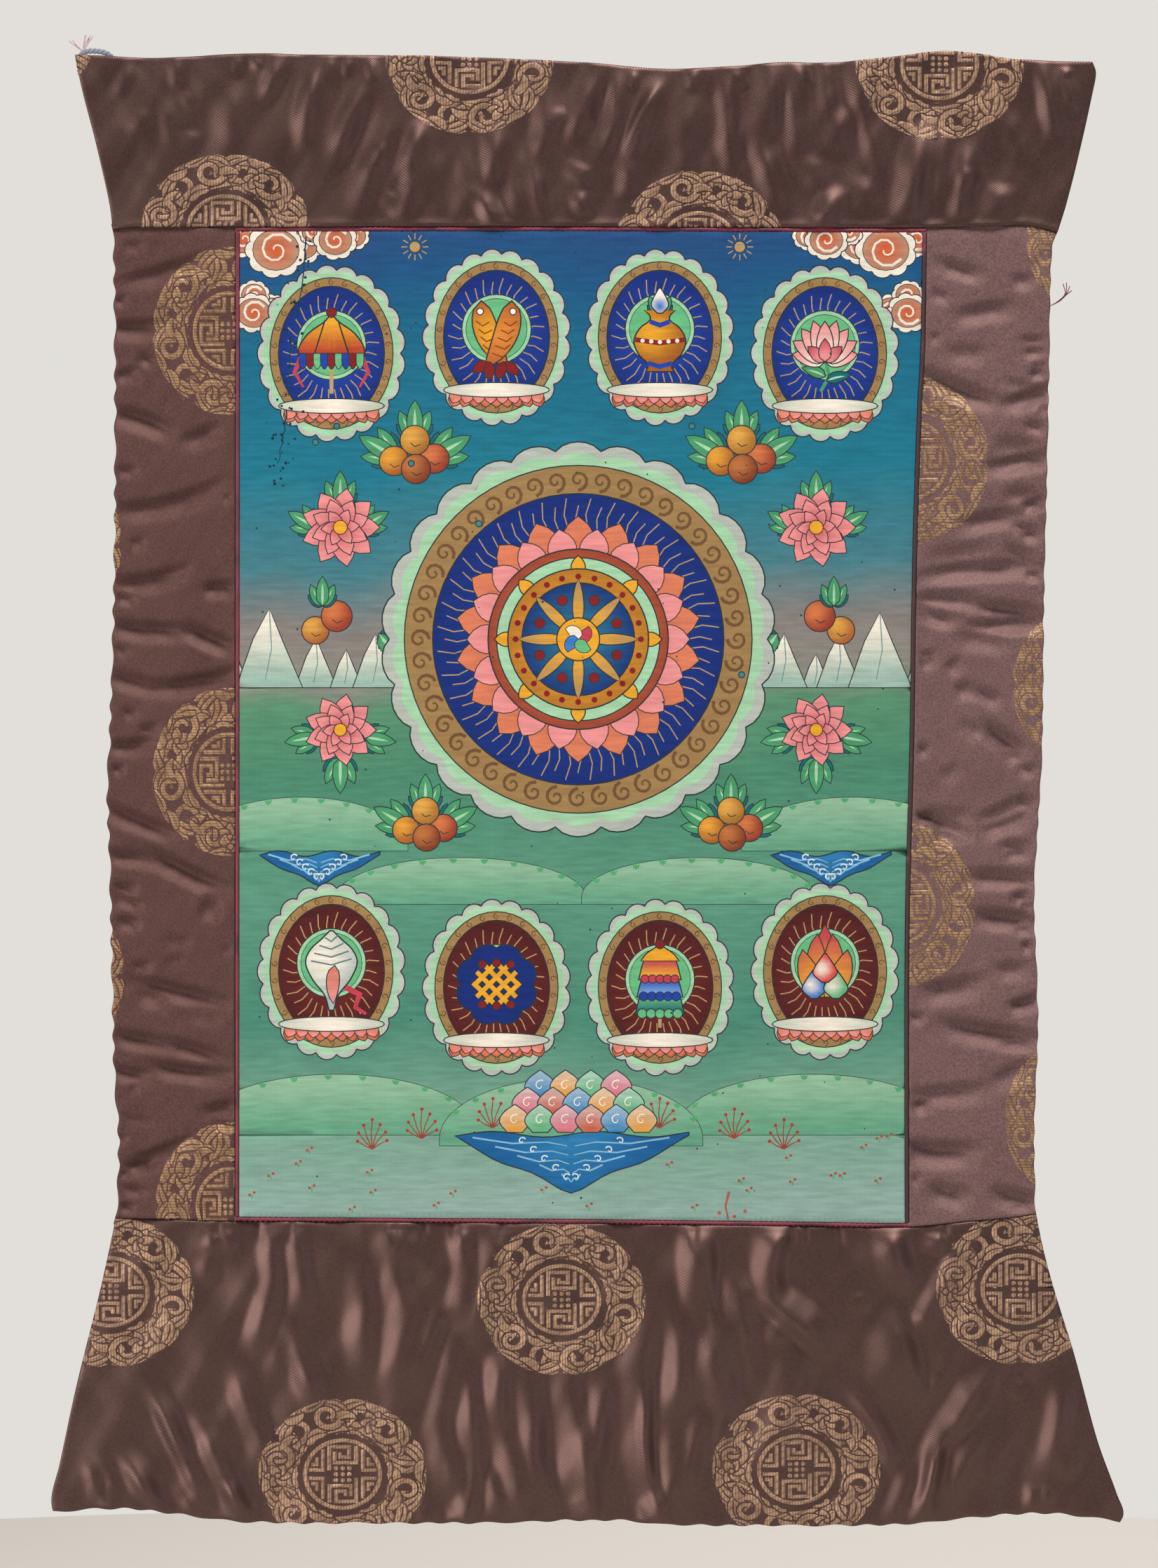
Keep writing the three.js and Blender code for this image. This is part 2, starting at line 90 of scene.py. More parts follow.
# Driving dimensions of the cloths
SATIN_THICK = 1.6
CANVAS_THICK = 1.2
STRIP_THICK = 1.6  # of a folded strip, where it shows
STRIP_CLOTH = 0.6  # of its silk, where it is turned in
STRIP_WIDTH = 1.8  # as it shows
STRIP_CUT = 10.0
SEAM_GAP = 0.3
END_GAP = 0.06  # between the ends of a level strip and the side panels
TUCK = 4.0  # how far a cloth goes on behind its neighbour past their seam
WALL = 0.2  # over which it steps down to lie there
SEAM_ROUND = 0.9  # how far from a seam its edge is already rounding over
EDGE_ROUND = 0.8  # the same at an outer edge
STRIP_REACH = STRIP_WIDTH + 2 * SEAM_GAP
STRIP_MIDDLE = STRIP_REACH / 2

# Usual distance between the points of a mesh, in front and behind
TOP_PITCH, SIDE_PITCH, BACK_PITCH = 1.4, 1.5, 2.4
BOTTOM_PITCH, BOTTOM_BACK_PITCH = 1.95, 3.4
CANVAS_PITCH, CANVAS_BACK_PITCH = 3.3, 6.0
STRIP_PITCH = 3.0
# Lines of points by a plain edge, a tucked end and the edges of a strip: distances from the edge
EDGE_LINES = (0.0, 0.3, 0.8)
TUCK_LINES = (0.0, 0.6, 2.0, TUCK - WALL, TUCK, TUCK + 0.3, TUCK + 0.8)
STRIP_LINES = (0.0, 0.5, 2.0, 3.9, 4.1, 4.5)

# Ripples of an edge: height, pitch, and how far and how slowly their step wanders
PUCKERS = (0.7, 17.0, 1.3, 61.0)  # of a side panel's outer edge
HEM_RIPPLES = (0.55, 19.0, 1.2, 83.0)  # of the bottom hem, where its pleats run out
CALM = 0.4  # the right edge puckers less than the left one

# Faint waves of a soft cloth: height, and the usual distance between two
TOP_WAVES, TOP_BILLOWS = (0.22, 19), (1.2, 47)
BOTTOM_WAVES, BOTTOM_BILLOWS = (0.25, 23), (1.6, 53)
SIDE_WAVES, CANVAS_WAVES = (0.2, 17), (0.12, 61)

# How a fold is shaped. Its band faces the light and its fall faces away
LIGHT_SIDE = (-0.4, 0.92)  # towards the light, in x and z
FADE_SHARE = 0.42  # of its length, over which each end runs out
BAND_EASE, FALL_EASE = 1.75, 1.15  # widen the band and the fall of a fold that stands proud
DARK_EASE, CREASE_EASE = 1.05, 1.25  # and those of a crease
SEAM_PINCH, SIDE_PINCH = 8.0, 6.0  # how far from a seam it is held down
SEAM_HOLD = 0.3  # share of its height that is left at the seam

# How much deeper the folds lie than their rows say: a cloth's main folds, and its fine ones
TOP_GAINS, BOTTOM_GAINS = (1.2, 1.5), (1.2, 1.6)
LEFT_GAINS, RIGHT_GAINS = (1.7, 1.9), (1.8, 1.9)

# Roll of a turned edge that lies over its neighbour, and the shares of it by which others sink or rise
ROLL_MIDDLE, ROLL_WIDTH, ROLL_RISE = 1.0, 3.0, 0.7
SINK_UNDER_TOP, RISE_OVER_BOTTOM, BOTTOM_SINK = 0.9, 0.5, 0.8

# Sharp gathers and pleats: distance from the seam or hem, band, fall, and height or its gain
GATHER_FROM, GATHER_PAST, GATHER_BAND, GATHER_FALL, GATHER_GAIN = 4, 6, 2.2, 3.2, -0.8
FAN_FROM, FAN_CLOSING, FAN_BAND, FAN_FALL, FAN_HEIGHT = 4, 0.35, 2.4, 3.4, 1.1

# A strip's ridge: how much its sides drop, and its puckers. Columns: height, pace in x, pace in z
STRIP_CROWN = 0.35
STRIP_PUCKERS = ((0.12, 0.9, 0.8), (0.1, 0.31, -0.27))

# Outline of the hanging. Columns: x, z
TOP_EDGE = (
    (-288, 4.3), (-240, 2.6), (-192, 5), (-144, 4.3), (-96, 3.9), (-48, 2.4), (0, 0), (45, -3.5),
    (80, -2.3), (110, 0), (140, 0), (172, 3.2), (203, 6.5), (222, 5), (240, 2), (262, 0.6), (288, 0),
)
BOTTOM_EDGE = (
    (-301, -816), (-262, -814), (-240, -816), (-205, -821), (-175, -822.5), (-60, -822.5), (14, -821),
    (50, -823.5), (150, -824), (190, -822.5), (220, -819.5), (255, -817), (276, -818), (304, -822),
)
SEAM_TOP = (
    (-270, -94.6), (-250, -93), (-195, -92.8), (0, -92.6), (190, -93.3), (230, -92.6), (250, -92),
    (268, -96.4),
)
SEAM_BOTTOM = (
    (-268, -651), (-240, -651.7), (-195, -652.7), (-100, -653.3), (0, -654), (120, -655.4), (182, -656),
    (215, -653), (240, -650.8), (256, -648.6),
)
# Columns: z, x
OUTER_LEFT = (
    (8, -288.4), (-16, -283.4), (-48, -275.2), (-80, -268.2), (-95, -266.4), (-110, -265.6), (-200, -265),
    (-290, -265.5), (-380, -268), (-410, -269.4), (-450, -268), (-520, -266.5), (-570, -265.4),
    (-605, -263), (-645, -264), (-655, -265.4), (-696, -274.5), (-743, -286.2), (-790, -296.2),
    (-810, -300.6), (-826, -296),
)
OUTER_RIGHT = (
    (8, 281), (0, 285.4), (-6, 287.5), (-16, 286), (-48, 279), (-80, 271), (-96, 266), (-104, 263.2),
    (-130, 262), (-180, 261.3), (-240, 260), (-290, 258.7), (-390, 257.3), (-430, 255), (-470, 253),
    (-540, 255.2), (-600, 253), (-640, 253.6), (-650, 254.4), (-680, 261), (-727, 275.3), (-775, 288.2),
    (-806, 299.2), (-818, 303), (-828, 296),
)
CANVAS_LEFT = ((-90, -194.8), (-370, -194.9), (-660, -195.1))
CANVAS_RIGHT = (
    (-90, 190), (-160, 189), (-200, 186.9), (-286, 184.2), (-385, 182.7), (-478, 180.3), (-560, 179.9),
    (-660, 180.1),
)

# Slow swells of the whole hanging. Columns: centre x, centre z, reach in x, reach in z, height
SWELLS = (
    (-10, -380, 290, 380, 3.0), (-295, -812, 90, 80, 4.0), (300, -818, 80, 90, 3.5),
    (283, 0, 80, 70, 2.5), (-285, 2, 70, 60, 1.5), (70, -740, 120, 110, 2.0),
)

# Main folds. Columns: from x, from z, to x, to z, bow at its middle, band, fall, height
TOP_FOLDS = (
    (-206, -2, -208, -56, 0, 8, 10, 1.6), (-174, 8, -188, -25, 1, 5, 7, 2.1),
    (-151, 12, -166, -58, -2, 6, 9, 2.9), (-127, -2, -149, -62, 0, 6, 8, 2.9),
    (-107, -12, -138, -90, -1, 7, 10, 3.4), (-96, -28, -107, -68, 0, 6, 8, 2.3),
    (-95, -52, -113, -98, 0, 6, 9, 2.3), (-73, -36, -75, -98, 0, 8, 8, 1.6),
    (-54, -30, -58, -78, -1, 7, 8, 2.6), (-59, -64, -43, -100, 1, 6, 8, 2.6),
    (-42, -36, -39, -98, -4, 6, 8, 1.6), (-24, -10, -38, -66, 2, 6.5, 10, 3.1),
    (-38, -50, -28, -100, 1, 6, 8, 2.6), (6, 4, -14, -52, -2, 6.5, 9, 2.9),
    (13, 6, 4, -60, 4, 5, 7, 2.1), (46, 4, 17, -66, -3, 6, 8, 3.1),
    (54, -8, 43, -74, 2, 9, 10, 2.9), (78, 12, 80, -74, -4, 6, 8, 2.6),
    (100, 10, 90, -52, 1, 7.5, 9, 2.9), (90, -32, 108, -96, -1, 7, 10, 2.9),
    (110, 12, 113, -68, 2, 6, 8, 2.3), (128, 10, 132, -38, 2, 5, 7, 2.0),
    (147, 12, 167, -76, -4, 6, 9, 2.6), (142, -22, 133, -56, 0, 7, 9, 2.1),
    (140, -66, 126, -98, -2, 6, 9, 2.3), (184, -28, 176, -104, -2, 8, 11, 3.6),
    (198, -34, 193, -90, 0, 6, 8, 2.6), (211, -38, 205, -104, -1, 6, 10, 3.1),
    (253, 6, 263, -52, -1.5, 5, 7, 2.1), (230, -24, 242, -64, 0, 7, 9, 1.7),
)
BOTTOM_FOLDS = (
    (-184, -650, -180, -700, 1, 6, 7, 2.8), (-179, -680, -195, -732, 0, 6.5, 9, 3.6),
    (-171, -646, -161, -715, -1, 7, 8, 2.8), (-172, -704, -153, -764, -2, 6.5, 9, 3.1),
    (-206, -722, -179, -802, -1, 6.5, 9, 3.1), (-244, -736, -214, -792, -1, 5.5, 7, 3.6),
    (-219, -772, -194, -832, 1, 6, 9, 3.6), (-259, -770, -227, -830, 1, 5, 7, 2.8),
    (-128, -650, -130, -760, -3, 8, 9, 2.2), (-115, -645, -105, -712, -5, 8, 9, 3.4),
    (-99, -680, -119, -762, -1, 8.5, 10, 3.9), (-86, -688, -106, -758, 0, 7, 9, 4.2),
    (-77, -648, -72, -692, 1, 6, 7, 2.7), (-72, -674, -81, -714, 1, 6, 8, 2.7),
    (-80, -704, -91, -782, 1, 8, 9, 3.1), (-91, -754, -78, -818, -1, 7, 9, 2.5),
    (-50, -648, -69, -732, -5, 8, 9, 3.4), (-73, -720, -66, -800, -1, 7, 8, 3.4),
    (-66, -774, -74, -832, 1, 6, 7, 3.1), (-52, -716, -53, -774, -2, 7, 8, 3.1),
    (-54, -750, -38, -836, -1, 7, 8, 3.1), (-39, -716, -34, -840, 0, 8, 10, 3.9),
    (-19, -724, -3, -834, 0, 9, 8, 3.1), (7, -724, -3, -838, -2, 7, 9, 3.4),
    (27, -700, 23, -786, -2, 10, 9, 3.1), (22, -756, 38, -836, -2, 8, 7, 3.1),
    (45, -688, 44, -774, 3, 6.5, 8, 2.8), (46, -752, 36, -836, 1, 6.5, 8, 3.1),
    (55, -646, 58, -726, -1, 6, 7, 3.1), (62, -648, 66, -718, 0, 5.5, 7, 3.1),
    (65, -690, 73, -782, 2, 8, 10, 3.4), (63, -750, 48, -816, -1, 6, 8, 3.1),
    (74, -662, 90, -754, 0, 8, 9, 2.1), (105, -648, 98, -700, -4, 9, 9, 4.2),
    (92, -678, 150, -728, 3, 10, 9, 5.6), (120, -714, 82, -798, 2, 10, 12, 3.4),
    (156, -694, 167, -762, 4, 13, 10, 3.6), (167, -652, 182, -696, -6, 8, 9, 3.1),
    (214, -658, 182, -712, 0, 6, 10, 3.4), (152, -742, 181, -798, 4, 6, 6, 3.4),
    (181, -776, 164, -828, 2, 6, 7, 2.8), (225, -726, 191, -780, 0, 8, 10, 3.9),
    (197, -758, 184, -836, -3, 6, 8, 3.4), (218, -764, 198, -816, 0, 6, 9, 2.5),
    (268, -732, 256, -798, -1, 6, 9, 2.5),
)
LEFT_FOLDS = (
    (-272, -125, -204, -104, 0, 5, 8, -2.2), (-276, -148, -232, -146, 1, 5, 9, -2.8),
    (-278, -194, -224, -212, 6, 6, 9, -3.0), (-232, -213, -202, -201, 0, 6, 8, -2.1),
    (-282, -249, -194, -228, -7, 6, 9, -2.5), (-276, -290, -218, -279, -4, 6, 8, -2.8),
    (-220, -295, -192, -293, 1, 5, 7, -2.5), (-278, -313, -214, -317, -1, 6, 8, -3.0),
    (-228, -312, -190, -329, -1, 6.5, 8, -3.2), (-276, -338, -234, -350, -1, 6, 8, -2.5),
    (-256, -350, -186, -338, -2, 6, 8, -3.2), (-276, -383, -236, -379, -1, 5, 7, -2.5),
    (-280, -411, -220, -436, -1, 6, 8, -2.8), (-258, -434, -188, -468, -1.5, 6, 9, -3.2),
    (-274, -443, -240, -449, 1.5, 5, 7, -2.3), (-270, -511, -188, -531, 1, 6, 8, -2.8),
    (-272, -543, -230, -551, 0, 5.5, 8, -2.8), (-246, -548, -194, -564, 3, 6, 8, -2.5),
    (-256, -559, -188, -568, -2, 5, 8, -3.0), (-272, -563, -240, -570, 0, 5, 7, -2.5),
    (-220, -590, -190, -584, 1, 5, 7, -2.3), (-266, -619, -216, -600, -2, 5, 8, -2.5),
)
RIGHT_FOLDS = (
    (194, -108, 230, -119, 0, 5, 7, -2.1), (202, -142, 248, -134, 1.5, 6, 8, -2.1),
    (182, -166, 244, -192, -2, 6, 9, -3.2), (230, -192, 270, -178, 0, 5.5, 8, -3.0),
    (218, -227, 270, -217, 0, 5.5, 8, -3.0), (204, -260, 252, -251, 2, 6, 8, -2.5),
    (172, -291, 272, -283, 5, 6, 8, -3.0), (176, -300, 230, -301, 2, 6, 7, -2.5),
    (210, -302, 268, -310, 1, 6, 8, -3.2), (206, -314, 270, -311, -1.5, 5, 7, -3.2),
    (222, -366, 254, -390, 0, 6.5, 9, -3.4), (214, -427, 252, -409, -1, 6, 8, -2.1),
    (190, -421, 222, -435, 0, 5.5, 7, -2.8), (206, -456, 264, -459, 2, 6.5, 8, -2.8),
    (212, -477, 264, -483, 1.5, 6, 9, -3.4), (180, -520, 232, -511, -2, 7, 10, -2.8),
    (234, -531, 262, -522, 0, 5, 7, -3.0), (188, -536, 270, -549, 0, 6, 10, -3.4),
    (170, -580, 236, -574, 0, 6, 9, -2.3), (170, -605, 230, -609, -2, 7, 11, -3.7),
    (190, -629, 222, -638, 0, 7, 9, -2.8), (224, -631, 264, -641, 0, 6.5, 9, -3.0),
)
CANVAS_FOLDS = (
    (-162, -96, -158, -240, 2, 14, 16, -0.8), (60, -110, 52, -640, 8, 40, 60, 0.9),
    (-90, -300, -80, -660, -6, 50, 50, 0.8),
)

# Fine folds and puckers. The same columns
TOP_FINE = (
    (-123, 5, -123, -14, 0, 3, 5, 0.8), (-145, 5, -146, -15, 0, 3, 5, 0.9),
    (-86, -46, -91, -80, 0, 7, 8, 0.9), (18, -52, 20, -80, 0, 6, 8, 1.4),
    (-8, -72, -3, -92, 0, 5, 7, 1.5), (58, -2, 57, -18, 0, 3.5, 5, 0.9), (83, -3, 87, -18, 0, 3, 4, 0.8),
    (117, 0, 122, -18, 0, 3.5, 5, 1), (118, -52, 126, -78, 2, 8, 9, 1.3),
    (152, -62, 156, -92, -1, 7, 9, 1.3), (228, -66, 226, -90, 0, 10, 10, 1.2),
    (261, 0, 273, -34, 1, 4.5, 6, 1.1), (268, -3, 269, -10, 0, 3, 4, 0.6),
    (-256, 3, -269, -22, 0, 4, 6, 0.8), (-233, 4, -234, -18, 0, 4, 6, 1),
    (-238, -18, -239, -48, 0, 4, 7, 0.7), (-256, -22, -262, -40, 0, 9, 9, 0.6),
    (-198, 5, -199, -10, 0, 3, 5, 0.7), (-187, 3, -188, -5, 0, 3, 4, 0.5),
    (-136, 4, -138, -10, 0, 3, 4, 0.7), (-228, -15, -228, -27, 0, 4, 5, 0.5),
    (-224, -36, -227, -52, 0, 5, 6, 0.6), (-118, -44, -118, -62, 0, 5, 6, 0.6),
    (-112, -70, -117, -84, 0, 5, 6, 0.7), (-17, -24, -18, -38, 0, 4, 5, 0.6),
    (-6, -53, -12, -68, 0, 8, 8, 0.8), (0, -24, 0, -38, 0, 3.5, 5, 0.6), (25, -3, 24, -18, 0, 3, 4, 0.9),
    (65, -18, 66, -52, 0, 4, 6, 0.7), (105, -8, 105, -52, -2, 4, 6, 0.7),
    (212, -58, 213, -74, 0, 7, 8, 0.9), (43, -8, 18, -55, -3, 2.5, 3.5, 0.9),
    (-262, -39, -205, -34, 0, 3, 5, -0.15),
)
BOTTOM_FINE = (
    (-179, -712, -179, -745, 0, 6, 7, 1.2), (-236, -758, -203, -820, -1, 5, 6, 1.6),
    (-221, -750, -199, -788, 1, 7, 9, 1.4), (-266, -774, -236, -815, 0, 4.5, 6, 1.4),
    (-273, -777, -258, -811, 1, 4, 6, 1.3), (-283, -786, -278, -813, 1, 4, 6, 1.4),
    (-201, -794, -185, -820, 0, 4, 6, 1.3), (-209, -656, -217, -670, 0, 4, 5, 1),
    (-206, -656, -201, -674, 0, 4, 6, 1.3), (-220, -672, -213, -692, 0, 5, 7, 1),
    (-110, -655, -103, -688, 1, 4.5, 6, 1.4), (-98, -656, -95, -682, -3, 5, 7, 1.4),
    (-60, -788, -51, -822, 0, 5, 6, 1.4), (-28, -784, -21, -820, 0, 4, 6, 1),
    (-77, -772, -76, -815, 0, 5, 6, 1.2), (33, -735, 36, -815, -3, 3.5, 5, 1.6),
    (60, -708, 64, -762, 0, 9, 9, 1.6), (70, -760, 73, -795, 0, 8, 10, 1.4),
    (104, -703, 103, -726, 0, 7, 8, 1.2), (150, -690, 150, -706, 0, 6, 7, 1),
    (192, -657, 190, -672, 0, 8, 8, 1.6), (184, -702, 188, -718, 0, 6, 8, 1.4),
    (174, -708, 183, -768, 3, 5, 7, 1.3), (197, -736, 192, -754, 0, 4, 6, 0.9),
    (201, -764, 189, -820, -3, 4, 6, 1.8), (198, -774, 192, -818, -1, 5, 7, 1.4),
    (243, -738, 236, -752, 0, 5, 7, 0.7), (229, -752, 213, -805, 0, 9, 12, 0.8),
    (271, -777, 266, -798, 0, 5, 7, 1), (249, -798, 248, -816, 0, 3.5, 5, 1),
    (258, -798, 256, -816, 0, 3.5, 5, 0.9), (258, -740, 230, -808, 0, 8, 12, -1.2),
)
LEFT_FINE = (
    (-262, -101, -246, -101, 0, 3, 6, -0.8), (-267, -133, -257, -132, 0, 2.5, 5, -1.2),
    (-252, -162, -240, -168, 0, 3.5, 6, -1.4), (-268, -176, -250, -172, 1, 4, 7, -1.6),
    (-266, -227, -250, -228, 0, 3.5, 6, -1.2), (-206, -244, -198, -243, 0, 3.5, 5, -0.8),
    (-258, -268, -246, -268, 0, 3.5, 6, -1), (-266, -299, -250, -302, 0, 3, 5, -1.4),
    (-266, -327, -255, -332, 0, 3, 5, -0.9), (-262, -362, -250, -366, 0, 3, 6, -1.2),
    (-254, -374, -238, -372, 0, 4, 6, -1.4), (-268, -396, -258, -396, 0, 3, 5, -1.2),
    (-268, -461, -250, -464, 0, 3.5, 6, -1.6), (-268, -467, -246, -474, 0, 3.5, 6, -1.6),
    (-218, -470, -202, -473, 0, 9, 9, -1.8), (-267, -481, -248, -484, 1, 4, 7, -1.6),
    (-240, -491, -218, -494, 0, 5, 7, -0.8), (-206, -497, -197, -498, 0, 4, 5, -0.8),
    (-258, -506, -242, -507, 0, 4, 6, -1.2), (-240, -505, -222, -505, 1.5, 4, 6, -0.8),
    (-256, -521, -232, -529, 0, 4.5, 7, -1.6), (-228, -531, -200, -538, 0, 5, 7, -1),
    (-258, -576, -250, -577, 0, 3, 5, -0.8), (-264, -591, -240, -596, 0, 3, 5, -0.8),
    (-212, -594, -196, -598, 0, 4, 6, -1.4), (-263, -603, -257, -606, 0, 3, 4, -1),
    (-264, -620, -238, -617, -1, 3.5, 6, -2), (-264, -624, -255, -625, 0, 3, 5, -1.2),
    (-264, -631, -244, -636, 1, 3.5, 6, -1.4), (-264, -642, -252, -643, 0, 4, 6, -1.6),
)
RIGHT_FINE = (
    (238, -119, 256, -121, 0, 4.5, 7, -1.4), (194, -126, 208, -132, 0, 3.5, 6, -1.2),
    (193, -153, 202, -153, 0, 3, 5, -0.9), (196, -159, 234, -160, -1, 6, 8, -1.2),
    (242, -154, 262, -155, 0, 3.5, 5, -1.2), (244, -161, 262, -161, 0, 3.5, 5, -1.6),
    (250, -170, 262, -168, 0, 3, 5, -1), (248, -174, 262, -173, 0, 3, 5, -1.6),
    (232, -176, 258, -181, -1, 4, 6, -0.9), (254, -194, 262, -193, 0, 3, 5, -1),
    (246, -202, 261, -206, 1, 3.5, 5, -1.4), (226, -212, 260, -215, 1, 8, 9, -1.8),
    (232, -241, 259, -240, 0, 6, 7, -1.4), (243, -250, 260, -243, 0, 4.5, 6, -2.2),
    (238, -259, 259, -262, 0, 3, 5, -1.4), (243, -265, 259, -264, 0, 3, 5, -1.6),
    (186, -278, 235, -270, 1, 8, 9, -1.6), (232, -270, 258, -280, 1, 6, 7, -1.8),
    (246, -287, 259, -287, 0, 3, 5, -1.4), (184, -304, 215, -313, -1, 5, 7, -2.2),
    (202, -321, 246, -327, 1, 5, 8, -1.6), (186, -332, 200, -331, 0, 3, 5, -1.2),
    (186, -337, 200, -336, 0, 3, 5, -1.2), (200, -342, 212, -333, 0, 5, 7, -1.4),
    (206, -352, 222, -350, 1, 6, 7, -1.6), (218, -350, 238, -360, 1, 5, 7, -1.8),
    (212, -368, 226, -380, 1, 5, 8, -1), (187, -383, 196, -386, 0, 4, 6, -1.4),
    (232, -388, 252, -391, 0, 4, 6, -1.2), (196, -402, 212, -393, 0, 5, 8, -0.9),
    (240, -396, 257, -396, 0, 3.5, 6, -1.4), (184, -417, 222, -421, -2, 7, 8, -1.8),
    (244, -411, 256, -417, 0, 5, 6, -1.6), (184, -423, 199, -422, 0, 3.5, 5, -2.2),
    (216, -433, 256, -418, -2, 4, 7, -1.8), (196, -430, 214, -440, 0, 4, 7, -1.6),
    (230, -440, 254, -441, 2, 4.5, 6, -1.8), (232, -447, 254, -444, 1, 3, 5, -1.4),
    (238, -468, 253, -467, 0, 4.5, 6, -2.2), (244, -474, 254, -474, 0, 3, 5, -1.4),
    (240, -488, 254, -487, 0, 3, 5, -1.2), (244, -495, 254, -495, 0, 4, 6, -1.6),
    (226, -508, 254, -507, 0, 6, 8, -1.8), (180, -534, 194, -537, 0, 3, 6, -1.4),
    (232, -552, 255, -552, 0.5, 3, 5, -1.2), (222, -574, 256, -559, 0, 7, 9, -1.8),
    (182, -586, 196, -585, 0, 4, 6, -2), (182, -627, 190, -627, 0, 3.5, 5, -1),
    (236, -645, 254, -644, 0, 3, 5, -1.2),
)
# Needle-sharp gathers where a seam draws the bottom panel in. Columns: x, length, lean, height
SEAM_GATHERS = (
    (-208, 12, -2, 1.2), (-186, 12, 1, 1.4), (-168, 13, 0, 1.4), (-110, 14, 2, 1.4), (-92, 11, -1, 1.3),
    (-76, 12, 1, 1.2), (-48, 12, -2, 1.2), (60, 14, 0, 1.5), (114, 14, 2, 1.3), (123, 16, -1, 1.2),
    (141, 14, 2, 1.2), (202, 12, -2, 1.3),
)
# Fans of fine pleats that run into the bottom hem. Columns: x at the hem, spread, pleats, length
HEM_FANS = (
    (-271, 9, 3, 20), (-222, 12, 4, 22), (-91, 10, 3, 20), (-73, 14, 5, 24), (-2, 16, 5, 26),
    (38, 18, 6, 26), (188, 20, 6, 26),
)


def linear(colour: str) -> tuple[float, float, float, float]:
    """Turns an sRGB hex colour into linear light.

    Args:
        colour: Six hex digits with a leading hash.

    Returns:
        Linear red, green, blue and an alpha of 1.
    """
    parts = [int(colour[i:i + 2], 16) / 255 for i in (1, 3, 5)]
    lit = [c / 12.92 if c <= 0.04045 else ((c + 0.055) / 1.055) ** 2.4 for c in parts]
    return (lit[0], lit[1], lit[2], 1.0)


def curve_through(rows: Rows) -> Curve:
    """Makes a smooth curve through rows of (at, value), held flat past both ends.

    Args:
        rows: The points, in any order.

    Returns:
        A function of an array of places.
    """
    table = np.array(sorted(rows), float)
    at, value = table[:, 0], table[:, 1]
    last = len(at) - 1
    before, after = np.maximum(np.arange(last + 1) - 1, 0), np.minimum(np.arange(last + 1) + 1, last)
    slope = (value[after] - value[before]) / (at[after] - at[before])

    def curve(place: np.ndarray) -> np.ndarray:
        """Value of the curve at each place.

        Args:
            place: Places along the first axis.

        Returns:
            The value at each.
        """
        held = np.clip(np.asarray(place, float), at[0], at[-1])
        i = np.clip(np.searchsorted(at, held, side="right") - 1, 0, last - 1)
        span = at[i + 1] - at[i]
        t = (held - at[i]) / span
        near = (1 + 2 * t) * (1 - t) ** 2 * value[i]
        far = t * t * (3 - 2 * t) * value[i + 1]
        turn = t * (1 - t) ** 2 * span * slope[i] - t * t * (1 - t) * span * slope[i + 1]
        return near + far + turn

    return curve


TOP, BOTTOM = curve_through(TOP_EDGE), curve_through(BOTTOM_EDGE)
UPPER_SEAM, LOWER_SEAM = curve_through(SEAM_TOP), curve_through(SEAM_BOTTOM)
LEFT, RIGHT = curve_through(OUTER_LEFT), curve_through(OUTER_RIGHT)
CANVAS_WEST, CANVAS_EAST = curve_through(CANVAS_LEFT), curve_through(CANVAS_RIGHT)


def shifted(curve: Curve, by: float) -> Curve:
    """A curve moved by a fixed distance."""
    return lambda at: curve(at) + by


def ripple(place: np.ndarray, height: float, pitch: float, swing: float, wander: float) -> np.ndarray:
    """Small uneven ripples along an edge.

    Args:
        place: Places along the edge.
        height: Their height.
        pitch: Their usual pitch.
        swing: How far their step wanders, in radians.
        wander: Over which distance it wanders.

    Returns:
        How far the edge is moved at each place.
    """
    return height * np.sin(2 * np.pi * place / pitch + swing * np.sin(2 * np.pi * place / wander))


def ease(t: np.ndarray) -> np.ndarray:
    """0 below 0, 1 above 1, smooth between."""
    held = np.clip(t, 0, 1)
    return held * held * (3 - 2 * held)


def swell(x: np.ndarray, z: np.ndarray) -> np.ndarray:
    """How far the whole hanging swells towards the viewer.

    Args:
        x: Places across, mm.
        z: Places up, mm.

    Returns:
        The height at each place, mm.
    """
    height = np.zeros_like(x)
    for centre_x, centre_z, reach_x, reach_z, rise in SWELLS:
        height += rise * ease(1 - np.hypot((x - centre_x) / reach_x, (z - centre_z) / reach_z))
    return height


def folded(table: Rows, x: np.ndarray, z: np.ndarray) -> np.ndarray:
    """Adds up a table's folds.

    Args:
        table: Rows of from x, from z, to x, to z, bow, band, fall and height.
        x: Places across.
        z: Places up.

    Returns:
        The height of the folds at each place.
    """
    total = np.zeros_like(x)
    for from_x, from_z, to_x, to_z, bow, band, fall, height in table:
        run = math.hypot(to_x - from_x, to_z - from_z)
        along_x, along_z = (to_x - from_x) / run, (to_z - from_z) / run
        t = ((x - from_x) * along_x + (z - from_z) * along_z) / run
        away = 1 if -along_z * LIGHT_SIDE[0] + along_x * LIGHT_SIDE[1] < 0 else -1
        offset = (z - from_z) * along_x - (x - from_x) * along_z - bow * 4 * t * (1 - t)
        s = away * offset
        rise = band * (BAND_EASE if height > 0 else DARK_EASE)
        drop = fall * (FALL_EASE if height > 0 else CREASE_EASE)
        shape = ease(s / rise + 0.5) - ease((s - rise / 2) / drop)
        total += height * shape * ease(t / FADE_SHARE) * ease((1 - t) / FADE_SHARE)
    return total


def pinched(distance: np.ndarray, reach: float) -> np.ndarray:
    """Share of a fold's height that a seam at this distance leaves."""
    return SEAM_HOLD + (1 - SEAM_HOLD) * ease(distance / reach)


